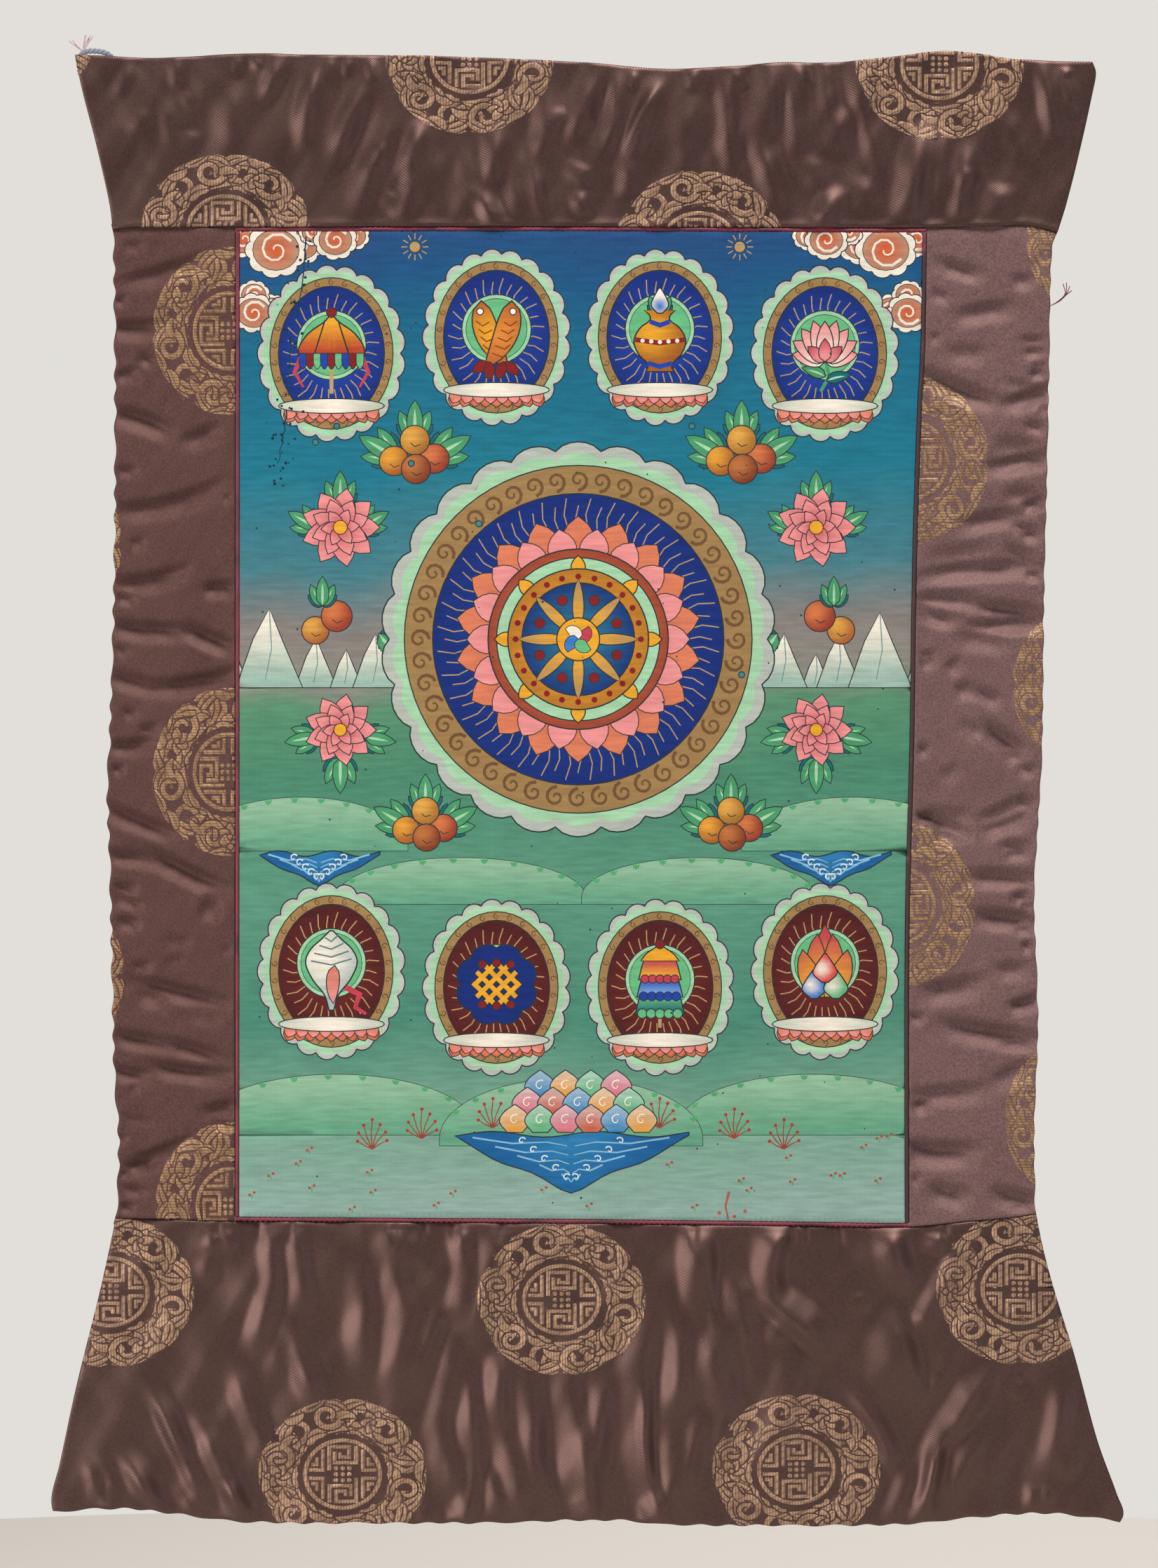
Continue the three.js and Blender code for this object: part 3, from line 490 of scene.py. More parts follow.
def with_gains(main: Rows, fine: Rows, gains: tuple[float, float]) -> list[tuple[float, ...]]:
    """Main and fine folds in one table, with their heights multiplied."""
    return [(*row[:-1], row[-1] * gain) for table, gain in zip((main, fine), gains) for row in table]


def gathers() -> list[tuple[float, ...]]:
    """The sharp gathers under the lower seam, as rows of folds.

    Returns:
        The rows.
    """
    rows = []
    for x, length, lean, height in SEAM_GATHERS:
        start = float(LOWER_SEAM(np.array(x))) + GATHER_FROM
        rows.append((x, start, x + lean, start - length - GATHER_PAST, 0, GATHER_BAND, GATHER_FALL,
                     GATHER_GAIN * height))
    return rows


def hem_fans() -> list[tuple[float, ...]]:
    """Fans of fine pleats above the bottom hem, as rows of folds.

    Returns:
        The rows.
    """
    rows = []
    for x, spread, pleats, length in HEM_FANS:
        low = float(BOTTOM(np.array(x))) - FAN_FROM
        for k in range(pleats):
            share = k / (pleats - 1) - 0.5
            reach = length * (1 - 0.5 * abs(share))
            rows.append((x + spread * share, low + reach, x + FAN_CLOSING * spread * share, low, 0,
                         FAN_BAND, FAN_FALL, FAN_HEIGHT))
    return rows


def drift(x: np.ndarray, z: np.ndarray, height: float, pace: float) -> np.ndarray:
    """Faint uneven waves of a soft cloth.

    Args:
        x: Places across.
        z: Places up.
        height: Height of the waves.
        pace: Usual distance between them.

    Returns:
        The height at each place.
    """
    k = 2 * np.pi / pace
    waves = np.sin(k * (x + 0.4 * z) + 1.7 * np.sin(k * 0.31 * z)) + np.sin(k * (0.73 * z - 0.5 * x) + 0.8)
    return height * (waves + np.sin(k * (1.31 * x - 0.9 * z) + 1.9 * np.sin(k * 0.23 * x))) / 3


TOP_ALL = with_gains(TOP_FOLDS, TOP_FINE, TOP_GAINS)
BOTTOM_ALL = [*with_gains(BOTTOM_FOLDS, BOTTOM_FINE, BOTTOM_GAINS), *hem_fans()]
LEFT_ALL = with_gains(LEFT_FOLDS, LEFT_FINE, LEFT_GAINS)
RIGHT_ALL = with_gains(RIGHT_FOLDS, RIGHT_FINE, RIGHT_GAINS)
GATHERS = gathers()


def roll(distance: np.ndarray) -> np.ndarray:
    """Soft roll of a turned edge, at distances from it."""
    return ROLL_RISE * np.exp(-((distance - ROLL_MIDDLE) / ROLL_WIDTH) ** 2)


def top_relief(x: np.ndarray, z: np.ndarray) -> np.ndarray:
    """Relief of the top panel.

    Args:
        x: Places across, mm.
        z: Places up, mm.

    Returns:
        The height at each place, mm.
    """
    above = z - UPPER_SEAM(x)
    folds = folded(TOP_ALL, x, z) * pinched(above, SEAM_PINCH)
    return swell(x, z) + folds + drift(x, z, *TOP_WAVES) + drift(x, z, *TOP_BILLOWS) + roll(above)


def bottom_relief(x: np.ndarray, z: np.ndarray) -> np.ndarray:
    """Relief of the bottom panel.

    Args:
        x: Places across, mm.
        z: Places up, mm.

    Returns:
        The height at each place, mm.
    """
    below = LOWER_SEAM(x) - z
    folds = folded(BOTTOM_ALL, x, z) * pinched(below, SEAM_PINCH) + folded(GATHERS, x, z)
    waves = swell(x, z) + folds + drift(x, z, *BOTTOM_WAVES) + drift(x, z, *BOTTOM_BILLOWS)
    return waves - roll(below) * BOTTOM_SINK


def side_relief(table: Rows, inward: Callable[[np.ndarray, np.ndarray], np.ndarray]) -> Relief:
    """Makes the relief of a side panel.

    Args:
        table: Its folds.
        inward: Distance from the canvas's edge.

    Returns:
        The relief, which is pinched at the seams and sinks under the top panel's roll.
    """
    def relief(x: np.ndarray, z: np.ndarray) -> np.ndarray:
        """Height at each place.

        Args:
            x: Places across, mm.
            z: Places up, mm.

        Returns:
            The height at each place, mm.
        """
        under, over = UPPER_SEAM(x) - z, z - LOWER_SEAM(x)
        hold = pinched(inward(x, z), SIDE_PINCH) * pinched(np.minimum(under, over), SEAM_PINCH)
        edges = roll(over) * RISE_OVER_BOTTOM - roll(under) * SINK_UNDER_TOP
        return swell(x, z) + folded(table, x, z) * hold + drift(x, z, *SIDE_WAVES) + edges

    return relief


def canvas_relief(x: np.ndarray, z: np.ndarray) -> np.ndarray:
    """Relief of the painted canvas."""
    return swell(x, z) + folded(CANVAS_FOLDS, x, z) + drift(x, z, *CANVAS_WAVES)


def tucked(own: Relief, neighbour: Relief, beyond: Callable[[np.ndarray, np.ndarray], np.ndarray],
           drop: float) -> Relief:
    """Relief of a cloth whose edge rounds over at a seam and goes on behind its neighbour.

    Args:
        own: Its relief up to the seam.
        neighbour: The neighbour's relief.
        beyond: Distance past its edge at the seam, below 0 on its own side.
        drop: How far its middle then lies behind the neighbour's.

    Returns:
        The relief of both parts.
    """
    def relief(x: np.ndarray, z: np.ndarray) -> np.ndarray:
        """Height at each place.

        Args:
            x: Places across, mm.
            z: Places up, mm.

        Returns:
            The height at each place, mm.
        """
        past = beyond(x, z)
        wall = np.clip(past / WALL, 0, 1)
        rounding = 1 - np.sqrt(1 - np.clip(1 + past / SEAM_ROUND, 0, 1) ** 2)
        return (own(x, z) - rounding * SEAM_ROUND / 2) * (1 - wall) + (neighbour(x, z) - drop) * wall

    return relief


def strip_relief(across: Callable[[np.ndarray, np.ndarray], np.ndarray], panel: Relief,
                 drop: float) -> Relief:
    """Makes the relief of a crimson strip: a ridge in the seam, with a turned-in edge behind each neighbour.

    Args:
        across: Distance from the strip's middle, above 0 towards the canvas.
        panel: Relief of the panel on its other side.
        drop: How much further behind its neighbours it lies than it must.

    Returns:
        The relief.
    """
    def relief(x: np.ndarray, z: np.ndarray) -> np.ndarray:
        """Height at each place.

        Args:
            x: Places across, mm.
            z: Places up, mm.

        Returns:
            The height at each place, mm.
        """
        away = across(x, z)
        ridge = swell(x, z) + (STRIP_THICK - STRIP_CLOTH) / 2 - STRIP_CROWN * (away / (STRIP_WIDTH / 2)) ** 2
        ridge += sum(height * np.sin(x * pace_x + z * pace_z) for height, pace_x, pace_z in STRIP_PUCKERS)
        clear = SEAM_GAP + STRIP_CLOTH / 2 + drop
        canvas, satin = canvas_relief(x, z) - CANVAS_THICK / 2, panel(x, z) - SATIN_THICK / 2
        wall = np.clip((np.abs(away) - STRIP_WIDTH / 2) / WALL, 0, 1)
        return ridge * (1 - wall) + (np.where(away > 0, canvas, satin) - clear) * wall

    return relief


# The relief at the frame's origin, which every cloth is set back by
ORIGIN = np.zeros(1)
ORIGIN_RELIEF = float((swell(ORIGIN, ORIGIN) + folded(TOP_FOLDS, ORIGIN, ORIGIN))[0])


@dataclass(frozen=True)
class Patch:
    """A cloth's outline: two edges in x (functions of z) and two in z (functions of x)."""

    west: Curve
    east: Curve
    north: Curve
    south: Curve

    def place(self, u: np.ndarray, v: np.ndarray) -> tuple[np.ndarray, np.ndarray]:
        """Places at shares u across and v down.

        Args:
            u: Shares of the way east.
            v: Shares of the way down.

        Returns:
            The places in x and z.
        """
        z = self.north(np.zeros(1))[0] * (1 - v) + self.south(np.zeros(1))[0] * v
        x = np.zeros_like(z)
        for _ in range(6):
            x = self.west(z) * (1 - u) + self.east(z) * u
            z = self.north(x) * (1 - v) + self.south(x) * v
        return x, z

    def inside(self, x: np.ndarray, z: np.ndarray) -> np.ndarray:
        """Distance of each place from the nearest edge."""
        across = np.minimum(x - self.west(z), self.east(z) - x)
        return np.minimum(across, np.minimum(self.north(x) - z, z - self.south(x)))


CANVAS_PATCH = Patch(
    CANVAS_WEST, CANVAS_EAST, shifted(UPPER_SEAM, -STRIP_REACH), shifted(LOWER_SEAM, STRIP_REACH)
)


class Tone(Enum):
    """How a painted shape runs from its near colour to its far one."""

    FLAT = "flat"
    ROUND = "round"
    LEVEL = "level"


@dataclass(frozen=True)
class Shape:
    """One closed shape of a chart, painted over those before it."""

    points: Points
    near: str
    far: str = ""
    tone: Tone = Tone.FLAT
    centre: tuple[float, float] = (0.0, 0.0)
    reach: float = 1.0

    def colours(self, places: Points) -> np.ndarray:
        """Linear colours of the shape at places.

        Args:
            places: Rows of x and z.

        Returns:
            Rows of red, green, blue and alpha.
        """
        near = np.array(linear(self.near))
        if self.tone is Tone.FLAT:
            return np.tile(near, (len(places), 1))
        away = places - np.array(self.centre)
        if self.tone is Tone.ROUND:
            share = np.hypot(away[:, 0], away[:, 1]) / self.reach
        else:
            share = away[:, 1] / self.reach
        blend = ease(share)[:, None]
        return near * (1 - blend) + np.array(linear(self.far)) * blend


@dataclass
class Triangles:
    """A cloth cut into flat triangles, with the topmost shape of each."""

    points: Points
    faces: np.ndarray
    top: np.ndarray

    def rim(self) -> list[int]:
        """The points of the outline, in order.

        Returns:
            The numbers of the points, once round.
        """
        edges = np.concatenate([self.faces[:, [0, 1]], self.faces[:, [1, 2]], self.faces[:, [2, 0]]])
        _, first, uses = np.unique(np.sort(edges, axis=1), axis=0, return_index=True, return_counts=True)
        follow = {int(a): int(b) for a, b in edges[first[uses == 1]]}
        loop = [next(iter(follow))]
        while follow[loop[-1]] != loop[0]:
            loop.append(follow[loop[-1]])
        return loop


def grid_shares(length: float, pitch: float, near: Sequence[float]) -> np.ndarray:
    """Shares of a length at which grid lines lie, closer to each other by the edges.

    Args:
        length: The whole length.
        pitch: Usual distance between lines.
        near: Distances of the lines by each edge, from 0.

    Returns:
        Shares from 0 to 1.
    """
    count = max(2, round((length - 2 * near[-1]) / pitch) + 1)
    inner = np.linspace(near[-1], length - near[-1], count)
    edge = np.array(near[:-1])
    return np.concatenate([edge, inner, length - edge[::-1]]) / length


@dataclass(frozen=True)
class Cut:
    """How a cloth is cut into triangles: their pitch, and the extra lines by its edges in each direction."""

    pitch: float
    across: tuple[float, ...] = EDGE_LINES
    down: tuple[float, ...] = EDGE_LINES


def grid(patch: Patch, cut: Cut) -> np.ndarray:
    """Places on a patch in rows and columns, every other row half a step over.

    Args:
        patch: The cloth's outline.
        cut: How it is cut.

    Returns:
        An array of rows, columns and (x, z), with north first.
    """
    x, z = patch.place(np.array([0.0, 1.0, 0.5, 0.5]), np.array([0.5, 0.5, 0.0, 1.0]))
    u_lines = grid_shares(x[1] - x[0], cut.pitch, cut.across)
    v_lines = grid_shares(z[2] - z[3], cut.pitch, cut.down)
    u, v = np.meshgrid(u_lines, v_lines)
    kept, middle = len(cut.across), len(u_lines) // 2
    u[1:-1:2, kept:-kept] += (u_lines[middle + 1] - u_lines[middle]) / 2
    return np.stack(patch.place(u.ravel(), v.ravel()), axis=1).reshape(*u.shape, 2)


def topmost(places: Points, shapes: Sequence[Points]) -> np.ndarray:
    """Finds the last shape that each place lies in.

    Args:
        places: Rows of x and z.
        shapes: Closed outlines, in painting order.

    Returns:
        Their indices, or -1 where there is none.
    """
    order = np.argsort(places[:, 0])
    x, z = places[order].T
    top = np.full(len(places), -1)
    for index, outline in enumerate(shapes):
        low, high = outline.min(0), outline.max(0)
        held = np.arange(np.searchsorted(x, low[0]), np.searchsorted(x, high[0]))
        held = held[(z[held] > low[1]) & (z[held] < high[1])]
        from_x, from_z = outline.T[:, :, None]
        to_x, to_z = np.roll(outline, -1, axis=0).T[:, :, None]
        side = (to_x - from_x) * (z[held] - from_z) - (x[held] - from_x) * (to_z - from_z)
        rises = (from_z <= z[held]) & (to_z > z[held]) & (side > 0)
        sinks = (from_z > z[held]) & (to_z <= z[held]) & (side < 0)
        turns = rises.sum(0) - sinks.sum(0)
        top[order[held[turns != 0]]] = index
    return top


INSIDE_ONLY = 1  # the cutting keeps only triangles inside the outline
WELD = 1e-4  # and joins points closer than this


def triangulated(patch: Patch, cut: Cut, shapes: Sequence[Points]) -> Triangles:
    """Cuts a patch into triangles that follow a grid and the outlines of shapes.

    Args:
        patch: The cloth's outline.
        cut: How it is cut.
        shapes: Closed outlines, each painted over those before it.

    Returns:
        The triangles, each with the index of its topmost shape, or -1.
    """
    places = grid(patch, cut)
    index = np.arange(places.shape[0] * places.shape[1]).reshape(places.shape[:2])
    rim = [*index[-1, :], *index[-2::-1, -1], *index[0, -2::-1], *index[1:-1, 0]]
    points = [Vector(p) for p in places.reshape(-1, 2)]
    edges = []
    for outline in shapes:
        start, count = len(points), len(outline)
        points.extend(Vector(p) for p in outline)
        edges += [(start + k, start + (k + 1) % count) for k in range(count)]
    made, _, found, _, _, sources = delaunay_2d_cdt(points, edges, [[int(i) for i in rim]], INSIDE_ONLY, WELD,
                                                    True)
    flat = np.array([(p.x, p.y) for p in made])
    faces = np.array([face for face, source in zip(found, sources) if 0 in source])
    return Triangles(flat, faces, topmost(flat[faces].mean(1), shapes))


def backing(front: Triangles, patch: Patch, cut: Cut) -> Triangles:
    """Cuts a patch into coarser triangles that keep the outline of finer ones.

    Args:
        front: The finer triangles.
        patch: The cloth's outline.
        cut: How it is cut.

    Returns:
        The triangles. Points of the outline have the front's numbers, and the others follow on.
    """
    rim = front.rim()
    inner = grid(patch, cut)[1:-1, 1:-1].reshape(-1, 2)
    points = [Vector(p) for p in np.concatenate([front.points[rim], inner])]
    made, _, found, sources, _, owners = delaunay_2d_cdt(points, [], [list(range(len(rim)))], INSIDE_ONLY,
                                                         WELD, True)
    numbers = np.array([rim[min(s)] if s and min(s) < len(rim) else -1 for s in sources])
    fresh = numbers < 0
    numbers[fresh] = len(front.points) + np.arange(fresh.sum())
    flat = np.array([(p.x, p.y) for p in made])[fresh]
    faces = numbers[np.array([face for face, owner in zip(found, owners) if owner])]
    return Triangles(np.concatenate([front.points, flat]), faces, np.full(len(faces), -1))


def add_node(tree: bpy.types.NodeTree, kind: str, settings: dict | None = None,
             links: dict | None = None) -> bpy.types.Node:
    """Adds a shader node with its settings and links.

    Args:
        tree: The tree that it goes into.
        kind: Its type, such as Mix or TexNoise.
        settings: Values by the name or number of a socket, or by the name of a property.
        links: What feeds a socket, by its name or number: an output socket, or a node for its result.

    Returns:
        The node.
    """
    node = tree.nodes.new(f"ShaderNode{kind}")
    for name, value in (settings or {}).items():
        if isinstance(name, int) or name in node.inputs:
            node.inputs[name].default_value = value
        else:
            setattr(node, name, value)
    for name, source in (links or {}).items():
        if isinstance(source, bpy.types.Node):
            source = next(output for output in source.outputs if output.enabled)
        tree.links.new(source, node.inputs[name])
    return node


def empty_material(name: str) -> tuple[bpy.types.Material, AddNode]:
    """A material with an empty node tree, and what adds nodes to it.

    Args:
        name: Its name.

    Returns:
        The material, and the function that adds a node.
    """
    material = bpy.data.materials.new(name)
    material.use_nodes = True
    material.node_tree.nodes.clear()
    return material, partial(add_node, material.node_tree)


WAVE_TURN = math.pi / 10  # a wave texture of scale 1 repeats at this distance, and a slanted one at twice it
PAINT, GILT = "paint", "gilt"  # the mesh attributes of the painted face


class Grain(Enum):
    """Which way the brocading threads run on a panel. The value is the axis that their ribs step along."""

    UPRIGHT = "X"
    LEVEL = "Z"


@dataclass(frozen=True)
class Finish:
    """What all finishes share: a name, the place in millimetres, a bump and the shader."""

    BUMP: ClassVar[tuple[float, float]]  # its strength, and its depth in millimetres

    name: str

    def material(self) -> bpy.types.Material:
        """Builds the material.

        Returns:
            The material.
        """
        material, add = empty_material(self.name)
        place = add("TexCoord").outputs["Object"]
        in_mm = add("VectorMath", {"operation": "SCALE", "Scale": 1 / MM}, {0: place})
        settings, links, height = self.surface(add, {"Vector": in_mm})
        bump = add("Bump", {"Strength": self.BUMP[0], "Distance": self.BUMP[1] * MM}, {"Height": height})
        shader = add("BsdfPrincipled", settings, {**links, "Normal": bump})
        add("OutputMaterial", links={0: shader})
        return material


@dataclass(frozen=True)
class TwoToned(Finish):
    """A finish that runs between a deep and a pale colour."""

    deep: str
    pale: str

    @property
    def tones(self) -> dict:
        """Settings of a mix of its two colours."""
        return {"data_type": "RGBA", 6: linear(self.deep), 7: linear(self.pale)}


@dataclass(frozen=True)
class Satin(TwoToned):
    """Viscose satin, woven with long floats: the eye gets a soft silky shine and a faint slanted twill."""

    BUMP = (0.6, 0.06)

    roughness: float
    shine: float
    ior: float = 1.5
    # The real twill steps every 0.5 mm, too fine to show, so it is drawn three times as coarse
    twill: float = 1.5
    patch: float = 38.0
    speckle: float = 1.1
    # how strongly the painted glints lighten and darken its colour
    painted_glint: float = 0.4
    tint: str = "#ffcfc6"

    def surface(self, add: AddNode, at: dict) -> Surface:
        """Adds the nodes of its weave.

        Args:
            add: What adds a node.
            at: The link that says the place in mm.

        Returns:
            The shader's settings, its links and the height for the bump.
        """
        patch = add("TexNoise", {"Scale": 1 / self.patch, "Detail": 3.0}, at)
        base = add("Mix", self.tones, {0: patch})
        # Specks of noise lighten and darken its colour: painted glints of the floats. The same noise roughens
        # the bump.
        speckle = add("TexNoise", {"Scale": 1 / self.speckle, "Detail": 1.0}, at)
        flecks = {"From Min": 0.32, "From Max": 0.68, "To Min": 1 - self.painted_glint, "To Max": 1 + self.painted_glint}
        lift = add("MapRange", flecks, {"Value": speckle})
        slant = {"bands_direction": "DIAGONAL", "Distortion": 0.6, "Detail": 1.0}
        twill = add("TexWave", {**slant, "Scale": 2 * WAVE_TURN / self.twill}, at).outputs["Fac"]
        ribbed = add("MapRange", {"To Min": 0.93, "To Max": 1.05}, {"Value": twill})
        grain = add("Math", {"operation": "MULTIPLY"}, {0: lift, 1: ribbed})
        colour = add("VectorMath", {"operation": "SCALE"}, {0: base, "Scale": grain})
        spread = {"To Min": self.roughness - 0.05, "To Max": self.roughness + 0.07}
        rough = add("MapRange", spread, {"Value": patch})
        height = add("Math", {"operation": "ADD"}, {0: twill, 1: speckle})
        gloss = {"Specular IOR Level": self.shine, "IOR": self.ior, "Specular Tint": linear(self.tint)}
        return gloss, {"Base Color": colour, "Roughness": rough}, height


@dataclass(frozen=True)
class BrocadeThread(TwoToned):
    """Dull gold paper-wrapped thread, laid in side by side: ribbed, with slanted lines where it is tied."""

    BUMP = (0.5, 0.12)

    gap: str
    grain: Grain
    # The real threads lie 0.8 mm apart, under one pixel of the render, so they are drawn twice as coarse
    rib: float = 1.6
    tie_step: float = 3.6
    tie_slant: float = 24.0
    cloud: float = 9.0
    roughness: float = 0.5

    def surface(self, add: AddNode, at: dict) -> Surface:
        """Adds the nodes of its threads.

        Args:
            add: What adds a node.
            at: The link that says the place in mm.

        Returns:
            The shader's settings, its links and the height for the bump.
        """
        ribs = {"bands_direction": self.grain.value, "Distortion": 0.5, "Detail": 1.0}
        rib = add("TexWave", {**ribs, "Scale": WAVE_TURN / self.rib}, at).outputs["Fac"]
        turned = add("Mapping", {"Rotation": (0, math.radians(self.tie_slant), 0)}, at)
        across = Grain.LEVEL if self.grain is Grain.UPRIGHT else Grain.UPRIGHT
        lines = {"bands_direction": across.value, "Distortion": 1.6, "Detail": 1.0}
        ties = add("TexWave", {**lines, "Scale": WAVE_TURN / self.tie_step},
                   {"Vector": turned}).outputs["Fac"]
        line = add("MapRange", {"From Max": 0.22, "To Min": 0.62}, {"Value": ties})
        cloudy = add("TexNoise", {"Scale": 1 / self.cloud, "Detail": 4.0}, at)
        worn = add("MapRange", {"From Min": 0.35, "From Max": 0.68}, {"Value": cloudy})
        thread = add("Mix", self.tones, {0: worn})
        shown = add("MapRange", {"From Min": 0.05, "From Max": 0.5, "To Min": 0.35}, {"Value": rib})
        colour = add("Mix", {"data_type": "RGBA", 6: linear(self.gap)}, {0: shown, 7: thread})
        tied = add("VectorMath", {"operation": "SCALE"}, {0: colour, "Scale": line})
        height = add("Math", {"operation": "ADD"}, {0: rib, 1: line})
        gloss = {"Metallic": 0.25, "Roughness": self.roughness, "Sheen Weight": 0.1}
        return gloss, {"Base Color": tied}, height


@dataclass(frozen=True)
class SilkStrip(TwoToned):
    """Plain-woven crimson silk, folded: matt to the eye, worn pale in places and dark where it is handled; on
    the right strip the dark is partly painted shade.
    """

    BUMP = (0.4, 0.1)

    worn: float
    blot: float = 22.0
    # The real threads lie 0.3 mm apart, too fine to show, so they are drawn three times as coarse
    thread: float = 0.9

    def surface(self, add: AddNode, at: dict) -> Surface:
        """Adds the nodes of its wear and threads.

        Args:
            add: What adds a node.
            at: The link that says the place in mm.

        Returns:
            The shader's settings, its links and the height for the bump.
        """
        blot = add("TexNoise", {"Scale": 1 / self.blot, "Detail": 5.0}, at)
        rubbed = {"From Min": 0.62 - self.worn, "From Max": 0.72 - self.worn * 0.6}
        base = add("Mix", self.tones, {0: add("MapRange", rubbed, {"Value": blot})})
        thread = add("TexNoise", {"Scale": 1 / self.thread, "Detail": 1.0}, at)
        return {"Roughness": 0.62, "Sheen Weight": 0.2}, {"Base Color": base}, thread


@dataclass(frozen=True)
class Thread(TwoToned):
    """Spun cotton or silk: matt, with fine fibres."""

    BUMP = (0.5, 0.1)

    fibre: float = 0.8

    def surface(self, add: AddNode, at: dict) -> Surface:
        """Adds the nodes of its fibres.

        Args:
            add: What adds a node.
            at: The link that says the place in mm.

        Returns:
            The shader's settings, its links and the height for the bump.
        """
        fibre = add("TexNoise", {"Scale": 1 / self.fibre, "Detail": 3.0}, at)
        base = add("Mix", self.tones, {0: fibre})
        return {"Roughness": 0.85, "Sheen Weight": 0.3}, {"Base Color": base}, fibre


@dataclass(frozen=True)
class Gouache(Finish):
    """Mineral colours in glue on a chalk ground: dead matt, brushed, over the grain of the cotton."""

    BUMP = (0.3, 0.08)

    name: str = "gouache_on_primed_cotton"
    # The real weave steps every 0.6 mm, too fine to show, so it is drawn at about twice that
    weave: float = 1.3
    stroke: float = 2.2
    stroke_length: float = 16.0

    def surface(self, add: AddNode, at: dict) -> Surface:
        """Adds the nodes of its strokes, of the weave and of the gilt lines.

        Args:
            add: What adds a node.
            at: The link that says the place in mm.

        Returns:
            The shader's settings, its links and the height for the bump.
        """
        paint = add("Attribute", {"attribute_name": PAINT}).outputs["Color"]
        gilt = add("Attribute", {"attribute_name": GILT}).outputs["Fac"]
        stretch = {"operation": "MULTIPLY", 1: (1 / self.stroke_length, 1, 1 / self.stroke)}
        drawn = add("VectorMath", stretch, {0: at["Vector"]})
        stroke = add("TexNoise", {"Scale": 1.0, "Detail": 4.0}, {"Vector": drawn})
        patchy = {"From Min": 0.3, "From Max": 0.7, "To Min": 0.86, "To Max": 1.12}
        brushed = add("MapRange", patchy, {"Value": stroke})
        threads = {"Distortion": 0.8, "Detail": 1.0, "Scale": WAVE_TURN / self.weave}
        warp = add("TexWave", {**threads, "bands_direction": "X"}, at).outputs["Fac"]
        weft = add("TexWave", {**threads, "bands_direction": "Z"}, at).outputs["Fac"]
        cloth = add("Math", {"operation": "ADD"}, {0: warp, 1: weft})
        woven = add("MapRange", {"From Max": 2.0, "To Min": 0.93, "To Max": 1.05}, {"Value": cloth})
        both = add("Math", {"operation": "MULTIPLY"}, {0: brushed, 1: woven})
        colour = add("VectorMath", {"operation": "SCALE"}, {0: paint, "Scale": both})
        metal = add("Math", {"operation": "MULTIPLY", 1: 0.45}, {0: gilt})
        rough = add("MapRange", {"To Min": 0.86, "To Max": 0.5}, {"Value": gilt})
        links = {"Base Color": colour, "Roughness": rough, "Metallic": metal}
        return {"Specular IOR Level": 0.1}, links, cloth


def plain_material(name: str, colour: str, roughness: float) -> bpy.types.Material:
    """A plain matt material for the studio.

    Args:
        name: Its name.
        colour: Its sRGB colour in hex.
        roughness: Its roughness.

    Returns:
        The material.
    """
    material, add = empty_material(name)
    shader = add("BsdfPrincipled", {"Base Color": linear(colour), "Roughness": roughness})
    add("OutputMaterial", links={0: shader})
    return material


def disc(x: float, z: float, radius: float, count: int = 20, squash: float = 1.0) -> Points:
    """Outline of a disc."""
    turn = np.linspace(0, 2 * np.pi, count, endpoint=False)
    return np.stack([x + radius * np.cos(turn), z + radius * squash * np.sin(turn)], axis=1)


def stroke(route: Sequence[Sequence[float]], width: float, taper: float = 1.0) -> Points:
    """Outline of a line with mitred corners.

    Args:
        route: Points of the line.
        width: Its width at the start.
        taper: Its width at the end, as a share of that at the start.

    Returns:
        The closed outline.
    """
    line = np.array(route, float)
    step = np.diff(line, axis=0)
    step /= np.linalg.norm(step, axis=1)[:, None]
    side = np.stack([-step[:, 1], step[:, 0]], axis=1)
    corner = np.concatenate([side[:1], side[:-1] + side[1:], side[-1:]])
    corner /= np.linalg.norm(corner, axis=1)[:, None]
    spread = np.concatenate([side, side[-1:]])
    mitre = corner / np.maximum((corner * spread).sum(1), 0.5)[:, None]
    half = np.linspace(1, taper, len(line))[:, None] * width / 2
    return np.concatenate([line + mitre * half, (line - mitre * half)[::-1]])


def lobe(x: float, z: float, heading: float, length: float, width: float, bend: float = 0.0,
         grow: float = 0.0, steps: int = 8) -> Points:
    """Outline of a bent leaf or petal, fullest past its middle.

    Args:
        x: Its root.
        z: Its root.
        heading: Direction in which it leaves its root, in degrees.
        length: Along its spine.
        width: At its fullest.
        bend: How far its spine turns, in degrees.
        grow: How much it is swollen all round.
        steps: How many steps its spine has.

    Returns:
        The closed outline.
    """
    share = np.linspace(0, 1, steps + 1)
    turn = np.radians(heading + bend * share)
    mid = (turn[1:] + turn[:-1]) / 2
    step = (length + 2 * grow) / steps
    run = np.concatenate([[0], np.cumsum(np.cos(mid))]) * step
    rise = np.concatenate([[0], np.cumsum(np.sin(mid))]) * step
    start = np.array([x - grow * math.cos(turn[0]), z - grow * math.sin(turn[0])])
    spine = np.stack([run, rise], axis=1) + start
    half = (width / 2 + grow) * np.sin(np.pi * share ** 0.75) ** 0.7
    side = np.stack([-np.sin(turn), np.cos(turn)], axis=1) * half[:, None]
    return np.concatenate([(spine + side)[:-1], (spine - side)[:0:-1]])


